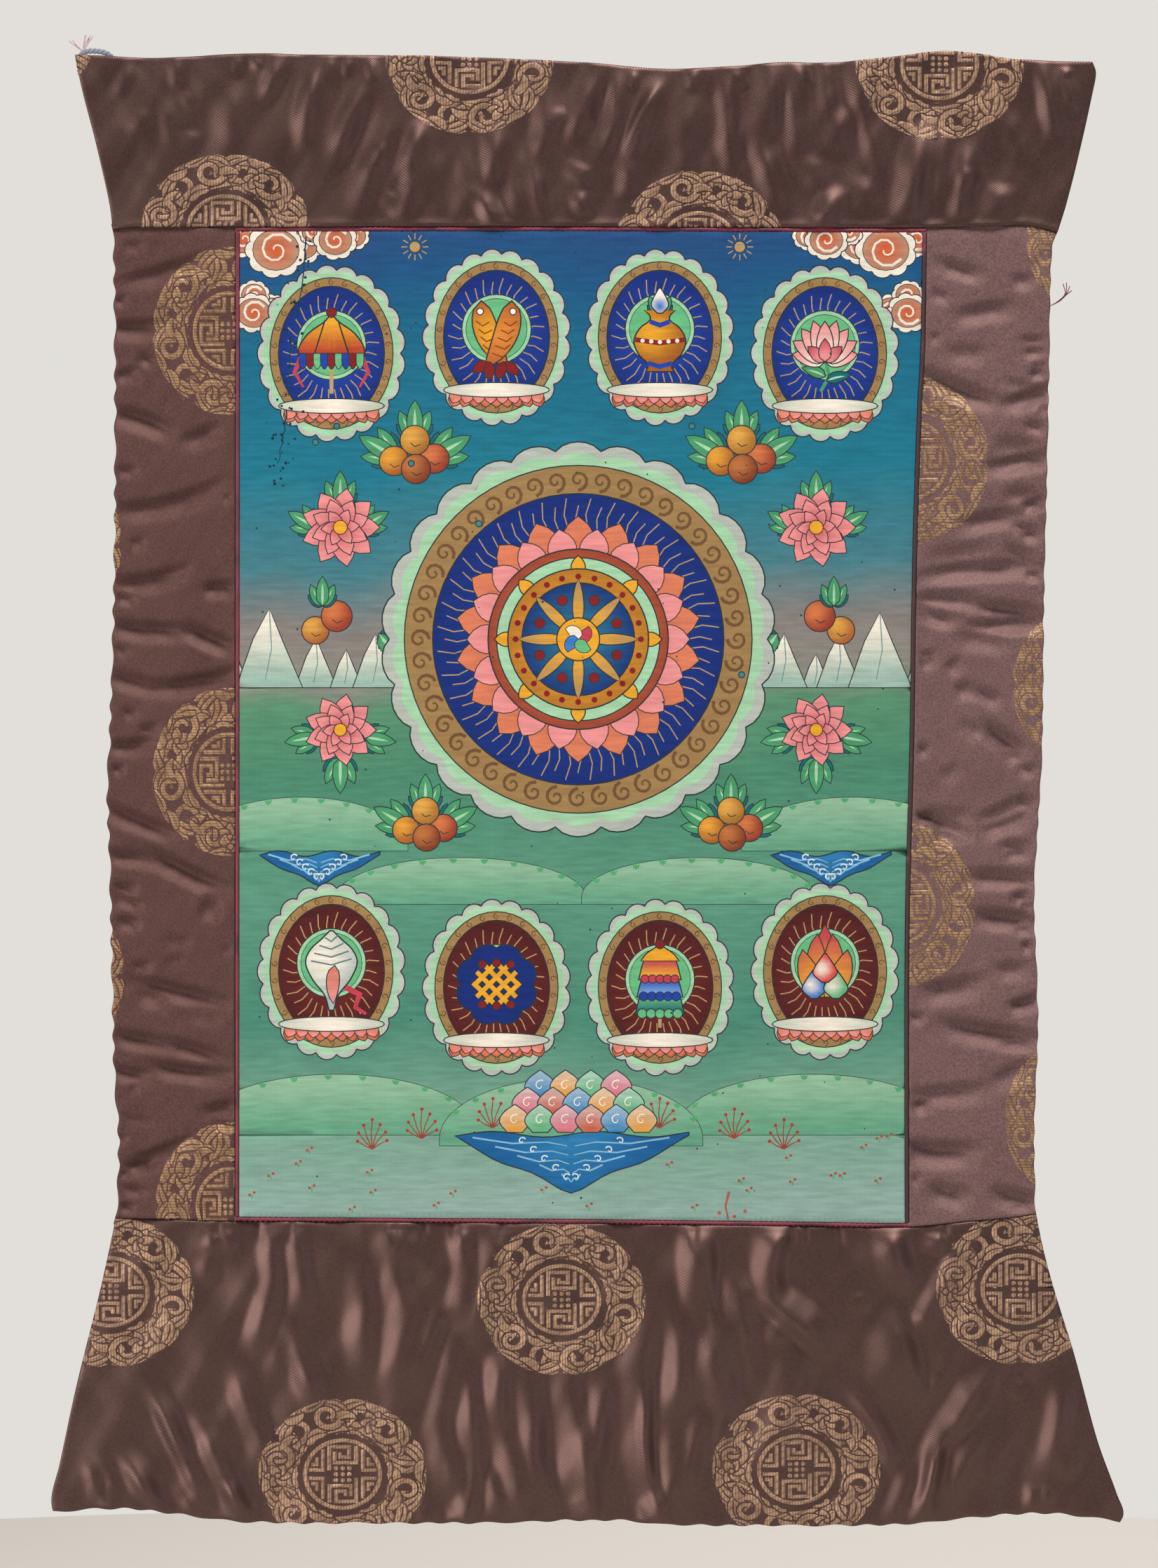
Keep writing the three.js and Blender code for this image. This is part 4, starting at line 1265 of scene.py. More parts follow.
@dataclass(frozen=True)
class Medallion:
    """A woven roundel of a common old kind: a fretted disc of long life inside a ring of leaves."""

    reach: float = 47.4
    squeeze: float = 0.9
    line: float = 2.1
    gap: float = 1.0
    sectors: int = 6
    scroll_width: float = 3.7
    scroll_turns: float = 1.05

    def fret(self) -> list[tuple[Points, bool]]:
        """The inner disc.

        Returns:
            The outlines, each with whether it is gold.
        """
        parts = [(disc(0, 0, 24.6, 36), False), (disc(0, 0, 22.3, 36), True), (disc(0, 0, 20.0, 36), False)]
        hook = [(-7.6, 2.4), (-7.6, 17.0), (3.6, 17.0), (3.6, 10.6), (-1.6, 10.6), (-1.6, 13.6)]
        box = [(-4.6, 13.8), (-4.6, 7.2), (7.4, 7.2), (7.4, 17.6)]
        corner = [(11.2, 15.4), (11.2, 2.6), (19.0, 2.6)]
        inner = [(14.5, 10.4), (14.5, 6.0), (17.6, 6.0)]
        for turn in (1, -1):
            for route in (hook, box):
                parts.append((stroke([(turn * u, turn * v) for u, v in route], self.line), True))
            for side in (1, -1):
                for route in (corner, inner):
                    parts.append((stroke([(turn * side * u, turn * v) for u, v in route], self.line), True))
        for i in (-1, 0, 1):
            parts.extend((disc(3.7 * i, 3.7 * k, 1.35, 8), True) for k in (-1, 0, 1))
        return parts

    def held(self, outline: Points) -> Points:
        """An outline kept inside the roundel."""
        reach = np.hypot(outline[:, 0], outline[:, 1])
        return outline * np.minimum(1, self.reach / np.maximum(reach, 1))[:, None]

    def leaf(self, *shape: float) -> list[tuple[Points, bool]]:
        """A gold leaf with a dark line round it."""
        return [(self.held(lobe(*shape, grow=self.gap)), False), (self.held(lobe(*shape)), True)]

    def scroll(self, u: float, v: float, radius: float, start: float, hand: int) -> list[tuple[Points, bool]]:
        """A gold scroll with a dark line round it, which tapers as it winds in.

        Args:
            u: Its middle, across.
            v: Its middle, up.
            radius: Of its outer turn.
            start: Where it starts, in degrees.
            hand: 1 or -1, the way in which it winds.

        Returns:
            Its outlines, each with whether it is gold.
        """
        share = np.linspace(0, 1, 17)
        turn = math.radians(start) + hand * 2 * np.pi * self.scroll_turns * share
        reach = radius * (1 - 0.68 * share)
        route = np.stack([u + reach * np.cos(turn), v + reach * np.sin(turn)], axis=1)
        outer, inner = self.scroll_width + 2 * self.gap, 0.55 * self.scroll_width + 2 * self.gap
        return [(self.held(stroke(route, outer, inner / outer)), False),
                (self.held(stroke(route, self.scroll_width, 0.55)), True)]

    def flame(self, u: float, v: float, heading: float, length: float, width: float,
              bend: float) -> list[tuple[Points, bool]]:
        """A flame-shaped leaf, with a dark rib if it is long.

        Args:
            u: Its root across.
            v: Its root up.
            heading: Way it points, degrees.
            length: Its length.
            width: Its width.
            bend: How far it curves, degrees.

        Returns:
            The outlines, each with whether it is gold.
        """
        made = self.leaf(u, v, heading, length, width, bend)
        if length > 17:
            aim = math.radians(heading)
            root = (u + 2.5 * math.cos(aim), v + 2.5 * math.sin(aim))
            made.append((self.held(lobe(*root, heading + 0.1 * bend, 0.72 * length, self.gap, 0.8 * bend)),
                         False))
        return made

    def ring(self) -> list[tuple[Points, bool]]:
        """The ring: flame-shaped leaves, scrolls and flowers, parted by dark lines.

        Returns:
            The outlines, each with whether it is gold.
        """
        draw = random.Random(8)
        parts: list[tuple[Points, bool]] = []
        # Columns: angle from the sector's axis, radius, heading from outwards, length, width, bend
        flames = (
            (-31, 29, 64, 24, 6.2, -80), (-29, 45.6, 112, 25, 6.0, -50), (-2, 28.4, 84, 19, 5.6, 66),
            (-33, 37, 40, 21, 6.0, 70), (-3, 46.0, 96, 17, 5.0, -30), (-20, 33, -42, 16, 5.0, -110),
            (-14, 46.6, 140, 14, 4.8, -80), (-12, 27.6, 40, 13, 4.6, 100), (-18, 27.2, 100, 13, 4.0, 24),
        )
        for sector in range(self.sectors):
            axis = 360 * sector / self.sectors + draw.uniform(-4, 4)
            for side in (1, -1):
                for angle, radius, heading, length, width, bend in flames:
                    at = math.radians(axis + side * (angle + draw.uniform(-2.5, 2.5)))
                    aim = math.degrees(at) + side * (heading + draw.uniform(-12, 12))
                    parts += self.flame(radius * math.cos(at), radius * math.sin(at), aim,
                                        length * draw.uniform(0.9, 1.12), width, side * bend)
                at = math.radians(axis + side * draw.uniform(13, 17))
                parts += self.scroll(37.4 * math.cos(at), 37.4 * math.sin(at), draw.uniform(7.2, 8.6),
                                     math.degrees(at) + side * draw.uniform(60, 130), side)
            if sector % 2:
                at = math.radians(axis)
                u, v = 36.5 * math.cos(at), 36.5 * math.sin(at)
                for k in range(6):
                    parts += self.leaf(u, v, axis + 60 * k, 7.6, 5.2)
                parts.append((disc(u, v, 2.3, 10), False))
                parts.append((disc(u, v, 1.3, 8), True))
        parts.append((scalloped(0, 0, 24.9, 24.9, 22, 1.0), False))
        return parts

    def outlines(self, centre: tuple[float, float], grain: Grain) -> list[tuple[Points, bool]]:
        """The roundel's shapes at their place.

        Args:
            centre: Its middle.
            grain: Which way the panel's threads run.

        Returns:
            Closed outlines in painting order, each with whether it is gold.
        """
        made = []
        for points, gold in self.ring() + self.fret():
            u, v = points[:, 0], points[:, 1] * self.squeeze
            local = (u, v) if grain is Grain.UPRIGHT else (-v, u)
            made.append((np.stack([centre[0] + local[0], centre[1] + local[1]], axis=1), gold))
        return made


def declare(piece: bpy.types.Object, node: str) -> bpy.types.Object:
    """Says that a piece rides on the body and stands for a solid.

    Args:
        piece: The piece.
        node: The solid it stands for.

    Returns:
        The piece.
    """
    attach(piece, BODY)
    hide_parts(node)
    log.info("%s: %d faces", piece.name, len(piece.data.polygons))
    return piece


@dataclass
class Cloth:
    """One sheet of the hanging: its outline, thickness, relief and how finely its mesh is cut."""

    name: str
    patch: Patch
    relief: Relief
    thick: float
    cut: Cut
    slot: str
    rests_on: str
    back_pitch: float = BACK_PITCH
    lift: float = 0.18  # how far raised triangles stand proud
    kept: np.ndarray | None = None  # which triangles of the front the piece has

    def solid(self, face: Triangles, raised: np.ndarray, materials: Sequence[bpy.types.Material],
              front_slots: np.ndarray) -> bpy.types.Object:
        """Makes the closed sheet from its flat triangles. The last material is that of its back.

        Args:
            face: The triangles of its front.
            raised: True for each triangle that stands proud.
            materials: Materials of the piece.
            front_slots: Material slot of each triangle in front.

        Returns:
            The piece.
        """
        back = backing(face, self.patch, replace(self.cut, pitch=self.back_pitch))
        rim = np.zeros(len(back.points), bool)
        rim[face.rim()] = True
        ears = {tuple(sorted(ear)) for ear in face.faces[rim[face.faces].all(1)].tolist()}
        ears &= {tuple(sorted(ear)) for ear in back.faces[rim[back.faces].all(1)].tolist()}
        self.kept = np.array([tuple(sorted(corners)) not in ears for corners in face.faces.tolist()])
        behind = np.array([corners[::-1] for corners in back.faces.tolist()
                           if tuple(sorted(corners)) not in ears])
        in_front = len(face.points)
        low = np.ones(in_front, bool)
        np.logical_and.at(low, face.faces.ravel(), np.repeat(raised, 3))
        x, z = back.points.T
        share = np.clip(self.patch.inside(x, z) / EDGE_ROUND, 0, 1)
        half = np.where(rim, 0, self.thick / 2 * np.sqrt(1 - (1 - share) ** 2))
        half[:in_front] += np.where(low & ~rim[:in_front], self.lift, 0)
        half[in_front:] *= -1
        points = np.stack([x, ORIGIN_RELIEF - self.relief(x, z) - half, z], axis=1)
        used, every = np.unique(np.concatenate([face.faces[self.kept], behind]), return_inverse=True)
        slots = np.concatenate([front_slots[self.kept], np.full(len(behind), len(materials) - 1)])
        return make_piece(f"{self.name}_cloth", points[used], every.reshape(-1, 3), materials, slots)

    def declared(self, piece: bpy.types.Object) -> bpy.types.Object:
        """Says that the piece is this sheet and stands for its solid.

        Args:
            piece: The piece.

        Returns:
            The piece.
        """
        declare(piece, self.name)
        return piece


def make_piece(name: str, points: np.ndarray, faces: np.ndarray, materials: Sequence[bpy.types.Material],
               slots: np.ndarray | None = None) -> bpy.types.Object:
    """Makes a smooth-shaded mesh object.

    Args:
        name: Its name.
        points: Its points in millimetres.
        faces: Rows of point numbers.
        materials: Its materials.
        slots: Material slot of each face.

    Returns:
        The object, in the scene.
    """
    mesh = bpy.data.meshes.new(name)
    mesh.from_pydata((points * MM).tolist(), [], faces.tolist())
    for material in materials:
        mesh.materials.append(material)
    if slots is not None:
        mesh.polygons.foreach_set("material_index", slots.astype(np.int32))
    mesh.polygons.foreach_set("use_smooth", np.ones(len(mesh.polygons), bool))
    mesh.update()
    piece = bpy.data.objects.new(name, mesh)
    bpy.context.scene.collection.objects.link(piece)
    return piece


@dataclass
class BrocadePanel(Cloth):
    """One satin panel with its woven roundels."""

    grain: Grain = Grain.UPRIGHT
    centres: tuple[tuple[float, float], ...] = ()
    extra: tuple[tuple[Points, bool], ...] = ()
    medallion: Medallion = field(default_factory=Medallion)

    def build(self, ground: bpy.types.Material, reverse: bpy.types.Material,
              thread: bpy.types.Material) -> bpy.types.Object:
        """Builds and dresses the panel.

        Args:
            ground: The satin.
            reverse: Its back.
            thread: The gold brocading.

        Returns:
            The piece.
        """
        shapes = list(self.extra)
        for centre in self.centres:
            shapes += self.medallion.outlines(centre, self.grain)
        shapes = [s for s in shapes if (self.patch.inside(s[0][:, 0], s[0][:, 1]) > -1).any()]
        face = triangulated(self.patch, self.cut, [points for points, _ in shapes])
        gold = np.array([golden for _, golden in shapes] + [False])[face.top]
        return self.declared(self.solid(face, gold, [ground, thread, reverse], gold.astype(int)))


@dataclass
class CrimsonStrip(Cloth):
    """A narrow folded strip between the canvas and a panel."""

    def build(self, silk: bpy.types.Material) -> bpy.types.Object:
        """Builds and dresses the strip.

        Args:
            silk: Its material.

        Returns:
            The piece.
        """
        face = triangulated(self.patch, self.cut, [])
        none = np.zeros(len(face.faces), bool)
        return self.declared(self.solid(face, none, [silk], none.astype(int)))


INK = "#2b3438"
CLOUD_WHITE, CLOUD_GREY, CLOUD_ORANGE = "#ddd9cd", "#a9b3ad", "#bf5a36"
LEAF_GREEN, LEAF_TEAL = "#479468", "#1b6570"
PINK, PINK_DEEP, PEACH, CRIMSON_PAINT = "#dc8f90", "#b5404f", "#cf7a5b", "#7d2326"
ORANGE_PAINT, WHITE_PAINT, BLUE_PAINT, BLUE_DEEP = "#dba02f", "#e6e1d4", "#2242a0", "#1a2f74"
HALO, HALO_PALE, WATER, WATER_DEEP, FOAM = "#62b07e", "#9ccaa6", "#2f7cb0", "#1d5c94", "#cfe0e2"
GOLD_LINE, GOLD_PALE, SCROLL_BROWN = "#c0a472", "#a8895a", "#6b4f35"
RIM_BLUE, JEWEL_BLUE = "#6fa9b8", "#3d77c4"


def profile(x: float, z: float, rows: Rows, steps: int = 14) -> Points:
    """Outline of a shape that is the same on both sides, from rows of (height, half width).

    Args:
        x: Its middle across, mm.
        z: Where its heights count from, mm.
        rows: Heights with the half width at each.
        steps: Points on each side.

    Returns:
        The outline.
    """
    high = np.linspace(rows[0][0], rows[-1][0], steps)
    half = curve_through(rows)(high)
    left, right = np.stack([x - half, z + high], axis=1), np.stack([x + half, z + high], axis=1)
    return np.concatenate([right, left[::-1]])


def scalloped(x: float, z: float, wide: float, high: float, bumps: int, bulge: float) -> Points:
    """Outline of an oval cloud with round bumps.

    Args:
        x: Its middle across, mm.
        z: Its middle up, mm.
        wide: Half its width, mm.
        high: Half its height, mm.
        bumps: Number of bumps.
        bulge: How far they stand out, mm.

    Returns:
        The outline.
    """
    turn = np.linspace(0, 2 * np.pi, bumps * 6, endpoint=False)
    out = bulge * np.abs(np.sin(bumps * turn / 2)) ** 0.7
    return np.stack([x + (wide + out) * np.cos(turn), z + (high + out) * np.sin(turn)], axis=1)


def curl(x: float, z: float, radius: float, start: float, width: float, hand: int = 1,
         turns: float = 1.4) -> Points:
    """Outline of a tapering spiral line that winds in to (x, z).

    Args:
        x: Its middle across, mm.
        z: Its middle up, mm.
        radius: Its outer radius, mm.
        start: Where it starts, degrees.
        width: Width of the line, mm.
        hand: 1 winds to the left, -1 to the right.
        turns: Number of turns.

    Returns:
        The outline.
    """
    share = np.linspace(0, 1, 15)
    turn = math.radians(start) + hand * 2 * np.pi * turns * share
    reach = radius * (1 - 0.88 * share)
    return stroke(np.stack([x + reach * np.cos(turn), z + reach * np.sin(turn)], axis=1), width, 0.5)


def grown(outline: Points, by: float) -> Points:
    """An outline moved outwards.

    Args:
        outline: The outline.
        by: How far, mm.

    Returns:
        The moved outline.
    """
    ahead = np.roll(outline, -1, axis=0)
    hand = np.sign((outline[:, 0] * ahead[:, 1] - ahead[:, 0] * outline[:, 1]).sum())
    step = ahead - outline
    step /= np.maximum(np.linalg.norm(step, axis=1), 1e-6)[:, None]
    out = hand * np.stack([step[:, 1], -step[:, 0]], axis=1)
    corner = out + np.roll(out, 1, axis=0)
    return outline + by * corner / np.maximum((corner ** 2).sum(1) / 2, 0.7)[:, None]


def around(x: float, z: float, wide: float, high: float, count: int,
           start: float = 90.0) -> list[tuple[float, ...]]:
    """Places round an oval, each with its direction outwards in degrees."""
    turns = [start + 360 * k / count for k in range(count)]
    return [(x + wide * math.cos(math.radians(t)), z + high * math.sin(math.radians(t)), t) for t in turns]


@dataclass
class Chart:
    """A general design in the old manner: lucky emblems round a wheel, between flowers, clouds and water."""

    shapes: list[Shape] = field(default_factory=list)
    draw: random.Random = field(default_factory=lambda: random.Random(11))

    def paint(self, points: Points, near: str, far: str = "", middle: tuple[float, float] | None = None,
              reach: float = 1.0, line: float = 0.0) -> None:
        """Adds a shape.

        Args:
            points: Its outline.
            near: Its colour, or that in its middle.
            far: Its colour at its reach.
            middle: Where it is darkest or palest. Without one, it runs from its top down.
            reach: How far the colour runs.
            line: Width of the dark line round it.
        """
        if line:
            self.shapes.append(Shape(grown(points, line), INK))
        if not far:
            self.shapes.append(Shape(points, near))
        elif middle:
            self.shapes.append(Shape(points, near, far, Tone.ROUND, middle, reach))
        else:
            top = float(points[:, 1].max())
            self.shapes.append(Shape(points, near, far, Tone.LEVEL, (0.0, top),
                                     -abs(top - points[:, 1].min())))

    def line(self, route: Sequence[Sequence[float]], width: float, colour: str, taper: float = 1.0) -> None:
        """Adds a brush line."""
        self.paint(stroke(route, width, taper), colour)

    def petals(self, x: float, z: float, length: float, width: float, count: int, colours: tuple[str, str],
               start: float = 90.0, root: float = 0.0) -> None:
        """A ring of petals, shaded from their roots."""
        for at_x, at_z, turn in around(x, z, root, root, count, start):
            self.paint(lobe(at_x, at_z, turn, length, width, steps=5), *colours, (x, z), root + length, 0.55)

    def leaf(self, x: float, z: float, heading: float, length: float, colour: str, bend: float = 0.0) -> None:
        """A leaf with a pale rib."""
        self.paint(lobe(x, z, heading, length, 0.42 * length, bend, steps=6), colour, line=0.55)
        self.paint(lobe(x, z, heading, 0.8 * length, 0.09 * length, bend, steps=4), HALO_PALE)

    def spray(self, x: float, z: float, heading: float, size: float) -> None:
        """A spray of green and teal leaves.

        Args:
            x: Its root across, mm.
            z: Its root up, mm.
            heading: Way it points, degrees.
            size: Length of its leaves, mm.
        """
        for turn, share, colour in ((-72, 0.7, LEAF_TEAL), (72, 0.7, LEAF_TEAL), (-40, 0.95, LEAF_GREEN),
                                    (40, 0.95, LEAF_GREEN), (0, 1.15, LEAF_GREEN)):
            self.leaf(x, z, heading + turn, size * share, colour, -turn * 0.5)

    def peony(self, x: float, z: float, size: float) -> None:
        """A full flower of three rings of petals.

        Args:
            x: Its middle across, mm.
            z: Its middle up, mm.
            size: Its radius, mm.
        """
        for share, count, start in ((1.0, 9, 0), (0.74, 8, 20), (0.48, 6, 5)):
            self.petals(x, z, size * share, size * 0.62 * share, count, (PINK_DEEP, PINK), start)
        self.paint(disc(x, z, size * 0.17, 12), ORANGE_PAINT, line=0.5)

    def fruit(self, x: float, z: float, size: float, colour: str, shade: str) -> None:
        """A round fruit, lit from one side.

        Args:
            x: Its middle across, mm.
            z: Its middle up, mm.
            size: Its radius, mm.
            colour: Its colour.
            shade: Its colour in the shade.
        """
        self.paint(disc(x, z, size, 20), colour, shade, (x - size * 0.35, z + size * 0.35), size * 1.5, 0.6)
        self.line([(x - size * 0.3, z - size * 0.2), (x, z - size * 0.45), (x + size * 0.4, z - size * 0.3)],
                  0.5, INK)

    def cluster(self, x: float, z: float, size: float) -> None:
        """Fruit among leaves.

        Args:
            x: Its middle across, mm.
            z: Its middle up, mm.
            size: Its size, mm.
        """
        self.spray(x - size * 0.9, z, 150, size * 1.5)
        self.spray(x + size * 0.9, z, 30, size * 1.5)
        self.spray(x, z + size * 0.8, 90, size * 1.4)
        for dx, dz, colour, shade in ((-0.9, -0.2, "#d69a3a", "#9a5a2c"), (0.85, -0.1, "#c97548", "#8a3a2c"),
                                      (0, 0.7, "#d3a04a", "#9c6a30"), (0.05, -0.55, "#b5713f", "#7a3a28")):
            self.fruit(x + dx * size, z + dz * size, size * 0.62, colour, shade)

    def cloud(self, x: float, z: float, size: float, hand: int) -> None:
        """A swirl of orange cloud with a pale rim.

        Args:
            x: Its middle across, mm.
            z: Its middle up, mm.
            size: Its size, mm.
            hand: 1, or -1 for its mirror image.
        """
        for dx, dz, share in ((-0.95, 0.25, 0.62), (0.95, 0.1, 0.7), (0.1, 0.75, 0.7), (0.1, -0.1, 0.95)):
            at_x, at_z, radius = x + hand * dx * size, z + dz * size, share * size
            self.paint(scalloped(at_x, at_z, radius * 0.95, radius * 0.85, 9, radius * 0.12), CLOUD_WHITE,
                       line=0.6)
            self.paint(disc(at_x, at_z, radius * 0.8, 20, 0.88), CLOUD_ORANGE, "#a88a72",
                       (at_x, at_z), radius, 0.4)
            self.paint(curl(at_x, at_z, radius * 0.62, 30 * hand, 1.5, hand), CLOUD_WHITE)

    def seat(self, x: float, z: float, wide: float) -> None:
        """A lotus seat, with its petals turned down.

        Args:
            x: Its middle across, mm.
            z: Its middle up, mm.
            wide: Half its width, mm.
        """
        for row, (drop, colours) in enumerate(((-1.6, (PEACH, "#b3563c")), (0.4, (PINK, PEACH)))):
            count = 9 - row
            for k in range(count):
                share = (k + 0.5) / count * 2 - 1
                at_x = x + share * wide * 0.86
                self.paint(lobe(at_x, z + drop, -90 + share * 26, 6.4, wide * 0.23, steps=5), *colours,
                           (at_x, z - 5), 5.0, 0.5)
        self.paint(disc(x, z + 1.6, wide, 28, 0.13), WHITE_PAINT, "#b9c2b4", (x, z + 2.4), wide, 0.6)

    def enlarge(self, start: int, x: float, z: float, by: float) -> None:
        """Enlarges the shapes from a number on, about a place.

        Args:
            start: Number of the first shape.
            x: The place across, mm.
            z: The place up, mm.
            by: The factor.
        """
        middle = np.array((x, z))
        for k in range(start, len(self.shapes)):
            shape = self.shapes[k]
            centre = tuple(middle + (np.array(shape.centre) - middle) * by)
            self.shapes[k] = replace(shape, points=middle + (shape.points - middle) * by, centre=centre,
                                     reach=shape.reach * by)

    def roundel(self, x: float, z: float, wide: float, high: float, rim: str, glow: tuple[str, str],
                emblem: Callable[[float, float], None]) -> None:
        """An emblem on a lotus seat, in a ring of gold scrolls with a cloud behind it.

        Args:
            x: Its middle across, mm.
            z: Its middle up, mm.
            wide: Half its width, mm.
            high: Half its height, mm.
            rim: Colour of its rim.
            glow: Its ground's colours, in and out.
            emblem: What draws the emblem.
        """
        self.paint(scalloped(x, z, wide + 7.5, high + 7.5, 21, 3.0), CLOUD_WHITE, CLOUD_GREY, (x, z),
                   wide * 1.7, 0.7)
        self.paint(scalloped(x, z, wide + 5.6, high + 5.6, 21, 2.4), rim, HALO_PALE, (x, z), wide * 1.5)
        self.paint(disc(x, z, wide + 3.4, 44, (high + 3.4) / (wide + 3.4)), GOLD_PALE, line=0.6)
        for at_x, at_z, turn in around(x, z, wide + 1.0, high + 1.0, 26):
            self.paint(curl(at_x, at_z, 1.9, turn, 0.7, 1, 1.1), SCROLL_BROWN)
        self.paint(disc(x, z, wide - 1.4, 40, (high - 1.4) / (wide - 1.4)), *glow, (x, z), wide * 1.3, 0.6)
        for k, (at_x, at_z, turn) in enumerate(around(x, z, wide * 0.52, high * 0.52, 30, 96)):
            lean, reach = math.radians(turn + 7), (0.36 if k % 2 else 0.3) * wide
            self.line([(at_x, at_z),
                       (at_x + 0.5 * reach * math.cos(lean), at_z + 0.6 * reach * math.sin(lean)),
                       (at_x + reach * math.cos(lean - 0.2), at_z + 1.2 * reach * math.sin(lean - 0.2))],
                      0.6, GOLD_LINE)
        self.paint(disc(x, z + high * 0.12, wide * 0.62, 32), HALO, HALO_PALE, (x, z + high * 0.12),
                   wide * 0.8, 0.6)
        self.paint(disc(x, z + high * 0.12, wide * 0.55, 28), "#5fbd7e", HALO, (x, z + high * 0.12),
                   wide * 0.6, 0.35)
        self.seat(x, z - high * 0.8, wide * 0.95)
        start = len(self.shapes)
        emblem(x, z)
        self.enlarge(start, x, z - 8, 1.22)

    def parasol(self, x: float, z: float) -> None:
        """A parasol with a fringe and streamers.

        Args:
            x: Middle of the roundel across, mm.
            z: Middle of the roundel up, mm.
        """
        self.line([(x, z - 20), (x, z + 12)], 1.8, GOLD_LINE)
        self.paint(profile(x, z, ((-2, 15), (2, 14.4), (8, 10), (13, 3), (16, 0.4))), ORANGE_PAINT, "#a8402c",
                   None, 1, 0.7)
        for side in (-1, 1):
            self.line([(x + side * 14, z - 3), (x + side * 17, z - 10), (x + side * 13, z - 17)], 2.4,
                      PINK_DEEP, 0.4)
            self.line([(x + side * 3, z + 14), (x + side * 8, z - 2)], 0.7, INK)
        for k in range(9):
            at_x = x - 13.2 + 3.3 * k
            colour = (BLUE_PAINT, CRIMSON_PAINT, HALO)[k % 3]
            self.paint(profile(at_x, z - 4, ((-4.4, 0.3), (-2.5, 1.4), (2.4, 1.6))), colour, line=0.4)
        self.paint(disc(x, z + 17.5, 2.1, 12), CRIMSON_PAINT, line=0.5)

    def fish(self, x: float, z: float) -> None:
        """Two golden fish, one each way.

        Args:
            x: Middle of the roundel across, mm.
            z: Middle of the roundel up, mm.
        """
        for side, colour in ((1, ORANGE_PAINT), (-1, "#d0843a")):
            self.paint(lobe(x - side * 7, z + 15, -90, 33, 10.5, side * 44, steps=10), colour, "#a85a2c",
                       (x - side * 2, z), 17, 0.65)
            self.paint(lobe(x + side * 4.2, z - 13, -96 + side * 52, 8, 4.6, steps=5), CRIMSON_PAINT,
                       line=0.5)
            self.paint(lobe(x + side * 3.2, z - 13, -100 - side * 8, 8, 4.6, steps=5), CRIMSON_PAINT,
                       line=0.5)
            self.paint(disc(x - side * 7.6, z + 10.5, 1.3, 10), WHITE_PAINT, line=0.5)
            for k in range(5):
                at_z = z + 6 - 3.6 * k
                self.line([(x - side * (9.4 - k), at_z), (x - side * (6.4 - 0.9 * k), at_z - 2.2),
                           (x - side * (3.4 - 1.4 * k), at_z - 0.4)], 0.55, "#7a3a20")

    def vase(self, x: float, z: float) -> None:
        """A treasure vase with leaves and a jewel.

        Args:
            x: Middle of the roundel across, mm.
            z: Middle of the roundel up, mm.
        """
        self.spray(x, z + 9, 90, 10)
        rows = ((-17, 6), (-14, 5), (-9, 9.6), (-3, 11.6), (3, 8.6), (6, 4.4), (9, 4.4), (11, 7))
        self.paint(profile(x, z, rows, 20), ORANGE_PAINT, "#9a5a24", (x - 4, z + 1), 17, 0.7)
        for height, half, colour in ((-2.5, 11.4, CRIMSON_PAINT), (5.8, 4.6, BLUE_PAINT),
                                     (-13.4, 5.6, BLUE_PAINT)):
            self.line([(x - half, z + height), (x, z + height - 1.6), (x + half, z + height)], 2.2, colour)
        for k in range(-2, 3):
            self.paint(disc(x + 4 * k, z - 3.6 + 0.3 * abs(k), 1.0, 8), WHITE_PAINT)
        self.paint(profile(x, z + 14, ((-4, 1), (-1, 3.6), (2, 3), (7, 0.3))), JEWEL_BLUE, WHITE_PAINT,
                   (x, z + 13), 6, 0.6)

    def lotus(self, x: float, z: float) -> None:
        """A lotus in flower on its stem.

        Args:
            x: Middle of the roundel across, mm.
            z: Middle of the roundel up, mm.
        """
        self.line([(x - 2, z - 19), (x + 2, z - 12), (x, z - 4)], 1.6, LEAF_GREEN)
        self.leaf(x, z - 12, 150, 11, LEAF_GREEN, 20)
        self.leaf(x + 1, z - 14, 24, 11, LEAF_TEAL, -20)
        for heading, length in ((168, 15), (12, 15), (148, 17), (32, 17), (126, 18), (54, 18), (106, 19),
                                (74, 19), (90, 18)):
            self.paint(lobe(x, z - 5, heading, length, 7.4, 0, steps=7), WHITE_PAINT, PINK, (x, z - 5),
                       length, 0.55)
        for heading in (140, 40, 90):
            self.paint(lobe(x, z - 5, heading, 10, 5.4, 0, steps=6), PINK, PINK_DEEP, (x, z - 5), 12, 0.5)

    def conch(self, x: float, z: float) -> None:
        """A white conch with a ribbon.

        Args:
            x: Middle of the roundel across, mm.
            z: Middle of the roundel up, mm.
        """
        self.line([(x + 5, z - 8), (x + 13, z - 12), (x + 11, z - 18), (x + 16, z - 21)], 2.8, PINK_DEEP, 0.5)
        self.paint(profile(x, z, ((-19, 0.8), (-12, 3), (-5, 8.4), (3, 11.6), (9, 9), (13, 4.6), (17, 0.6)),
                           22),
                   WHITE_PAINT, "#9fb2ad", (x - 4, z + 5), 20, 0.7)
        for k, half in enumerate((9.4, 8.0, 5.6, 3.0)):
            at_z = z + 3.4 + 3.6 * k
            self.line([(x - half, at_z), (x, at_z - 1.8), (x + half, at_z + 1.0)], 0.7, "#5b7a80")
        self.paint(lobe(x + 1.5, z + 1, -100, 17, 5.6, 16, steps=7), "#c97a6a", PINK, (x, z - 2), 16, 0.5)

